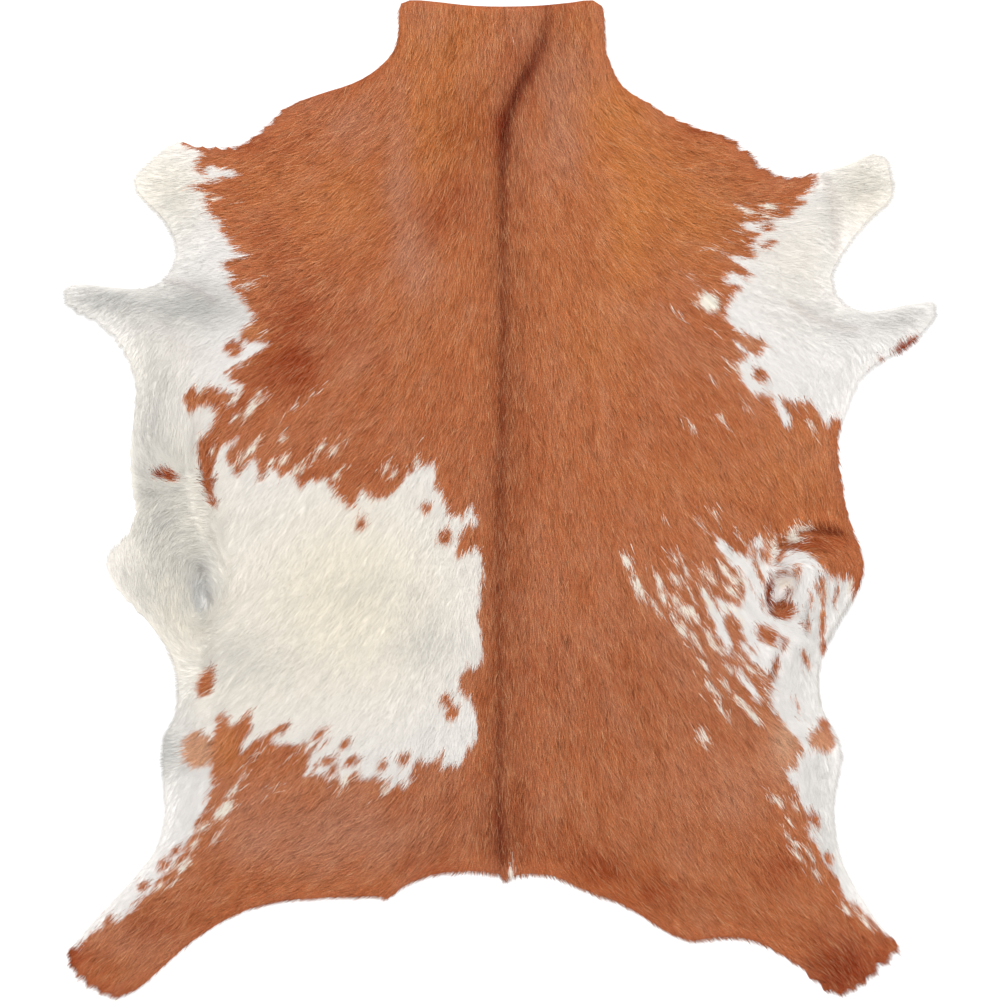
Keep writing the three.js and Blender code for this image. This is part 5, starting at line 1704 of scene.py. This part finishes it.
@dataclass
class RimLocks:
    """Longer, curved locks that fringe the rim and break its line."""

    hide: Hide
    coat: HairCoat
    shape: StrandShape = StrandShape("curved_locks", 3, 0.9, 0.6, 5)
    spacing: float = 0.9
    depth: float = 9.0
    length: float = 13.0
    overhang: float = 2.6
    girth: float = 0.42
    seed: int = 9

    def build(self, material: bpy.types.Material) -> bpy.types.Object:
        """Grows the locks round the whole rim."""
        random = np.random.default_rng(self.seed)
        outline, relief, flow = self.hide.outline, self.hide.relief, self.hide.flow
        rim = outline.evenly(self.spacing)
        inward = outline.inward(rim)
        depth = random.uniform(0.5, self.depth, len(rim)) + toned(TUCKS, rim)
        places = rim + inward * depth[:, None]
        headings = flow.at(places)
        kept = outline.distance.at(places) > outline.bare_rim(places, headings)
        places, headings, inward = places[kept], headings[kept], inward[kept]
        count = len(places)
        outwards = np.clip(-(headings * inward).sum(axis=1), 0.0, 1.0)
        headings = unit(headings - inward * (0.25 * (1 - outwards))[:, None])
        headings = turned(headings, np.radians(9.0) * random.standard_normal(count))
        length = self.length * random.uniform(0.6, 1.2, count)
        tufts = np.clip(1.0 + 0.8 * StreakNoise(3.5, 22).along(places, headings, 8.0), 0.2, 2.6)
        longer = 1.0 + toned(FRINGES, places)
        overhang = self.overhang * longer * tufts * random.uniform(0.0, 1.0, count) ** 2
        length = self.coat.held_back(places, headings, length, overhang)
        tips = places + headings * length[:, None]
        roots_z = relief.leather_top(places) - 0.3
        lie = relief.nap(tips) * random.uniform(0.0, 0.9, count)
        tips_z = np.maximum(relief.leather_top(tips) + lie - 0.6, 0.4)
        midway = places + headings * (0.5 * length)[:, None]
        look = self.hide.coat.at(midway, 0.8 * random.standard_normal(count))
        girth = self.girth * random.uniform(0.7, 1.3, count)
        strands = Strands(
            np.column_stack([places, roots_z]),
            np.column_stack([tips, tips_z]),
            girth,
            look,
            np.clip(random.standard_normal(count), -2.0, 2.0),
        )
        piece = self.shape.grow("rim_locks", strands.mesh("rim_locks"), self.shape.tree(material))
        lay_out_cells(piece.data, count)
        soften(piece.data, relief)
        return piece


@dataclass
class Studio:
    """A plain pale floor, soft light and the camera straight above the hide."""

    floor_colour: tuple[float, ...] = srgb(250, 250, 250)
    floor_size: float = 8.0
    floor_level: float = -0.0002
    lens: float = 85.0
    sensor: float = 36.0
    picture_height: float = 0.8995
    camera_x: float = -0.0002
    camera_y: float = -0.0010
    key_power: float = 70.0
    fill_power: float = 26.0
    world_strength: float = 0.84

    def floor(self) -> None:
        """The floor, just under the hide."""
        half = self.floor_size / 2
        mesh = bpy.data.meshes.new("floor")
        corners = [(-half, -half), (half, -half), (half, half), (-half, half)]
        mesh.from_pydata([(x, y, self.floor_level) for x, y in corners], [], [(0, 1, 2, 3)])
        material = bpy.data.materials.new("floor")
        material.use_nodes = True
        shader = material.node_tree.nodes["Principled BSDF"]
        shader.inputs["Base Color"].default_value = self.floor_colour
        shader.inputs["Roughness"].default_value = 0.9
        mesh.materials.append(material)
        add_object("floor", mesh)

    def light(self, name: str, power: float, size: float, place: tuple[float, float, float]) -> None:
        """A square soft light that faces the middle of the hide."""
        lamp = bpy.data.lights.new(name, "AREA")
        lamp.energy = power
        lamp.size = size
        holder = bpy.data.objects.new(name, lamp)
        holder.location = place
        holder.rotation_euler = (-Vector(place)).to_track_quat("-Z", "Y").to_euler()
        bpy.context.scene.collection.objects.link(holder)

    def build(self) -> None:
        """Sets up floor, lights, surroundings and camera."""
        self.floor()
        self.light("key_light", self.key_power, 2.4, (-1.1, 1.5, 2.6))
        self.light("fill_light", self.fill_power, 2.8, (1.6, -0.9, 2.4))
        scene = bpy.context.scene
        world = bpy.data.worlds.new("studio")
        world.use_nodes = True
        background = world.node_tree.nodes["Background"]
        background.inputs["Color"].default_value = (1.0, 1.0, 1.0, 1.0)
        background.inputs["Strength"].default_value = self.world_strength
        scene.world = world
        scene.view_settings.view_transform = "Standard"
        camera = bpy.data.cameras.new("camera")
        camera.lens = self.lens
        camera.sensor_width = self.sensor
        camera.sensor_height = self.sensor
        camera.clip_end = 50.0
        holder = bpy.data.objects.new("camera", camera)
        holder.location = (self.camera_x, self.camera_y, self.picture_height * self.lens / self.sensor)
        scene.collection.objects.link(holder)
        scene.camera = holder


def attach(piece: bpy.types.Object) -> None:
    """Makes a piece ride on the rug's body and stand for the hide's solid, which it hides."""
    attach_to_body(piece, BODY)
    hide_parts(HIDE_NODE)


def triangles(piece: bpy.types.Object) -> int:
    """How many triangles a piece has."""
    counts = np.empty(len(piece.data.polygons), dtype=np.int32)
    piece.data.polygons.foreach_get("loop_total", counts)
    return int((counts - 2).sum())


def main() -> None:
    """Builds the rug and its studio, and reports each piece."""
    logging.basicConfig(level=logging.INFO, format="%(message)s")
    Studio().build()
    node = bpy.data.objects[HIDE_NODE]
    outline = Outline(node)
    flow = Flow()
    hide = Hide(outline, Relief(node, outline), flow, Coat(flow, outline))
    finish = CoatFinish()
    colours = finish.group()
    hair = finish.material("goat_hair", colours)
    leather = HideLeather(hide)
    sheet = leather.build()
    # The leather's hair side, coloured as a quarter along the hair: painted shade as under the coat
    sheet.data.materials.append(finish.material("hair_roots", colours, 0.25))
    sheet.data.materials.append(FleshFinish().material())
    coat = HairCoat(hide)
    pieces = coat.build(hair)
    pieces.append(RimLocks(hide, coat).build(hair))
    attach(sheet)
    for piece in pieces:
        attach(piece)
    leather.flat()
    leather.area()
    for piece in [sheet, *pieces]:
        LOG.info("%s: %d triangles", piece.name, triangles(piece))
    LOG.info("all: %d triangles", sum(triangles(piece) for piece in [sheet, *pieces]))


if __name__ == "__main__":
    main()
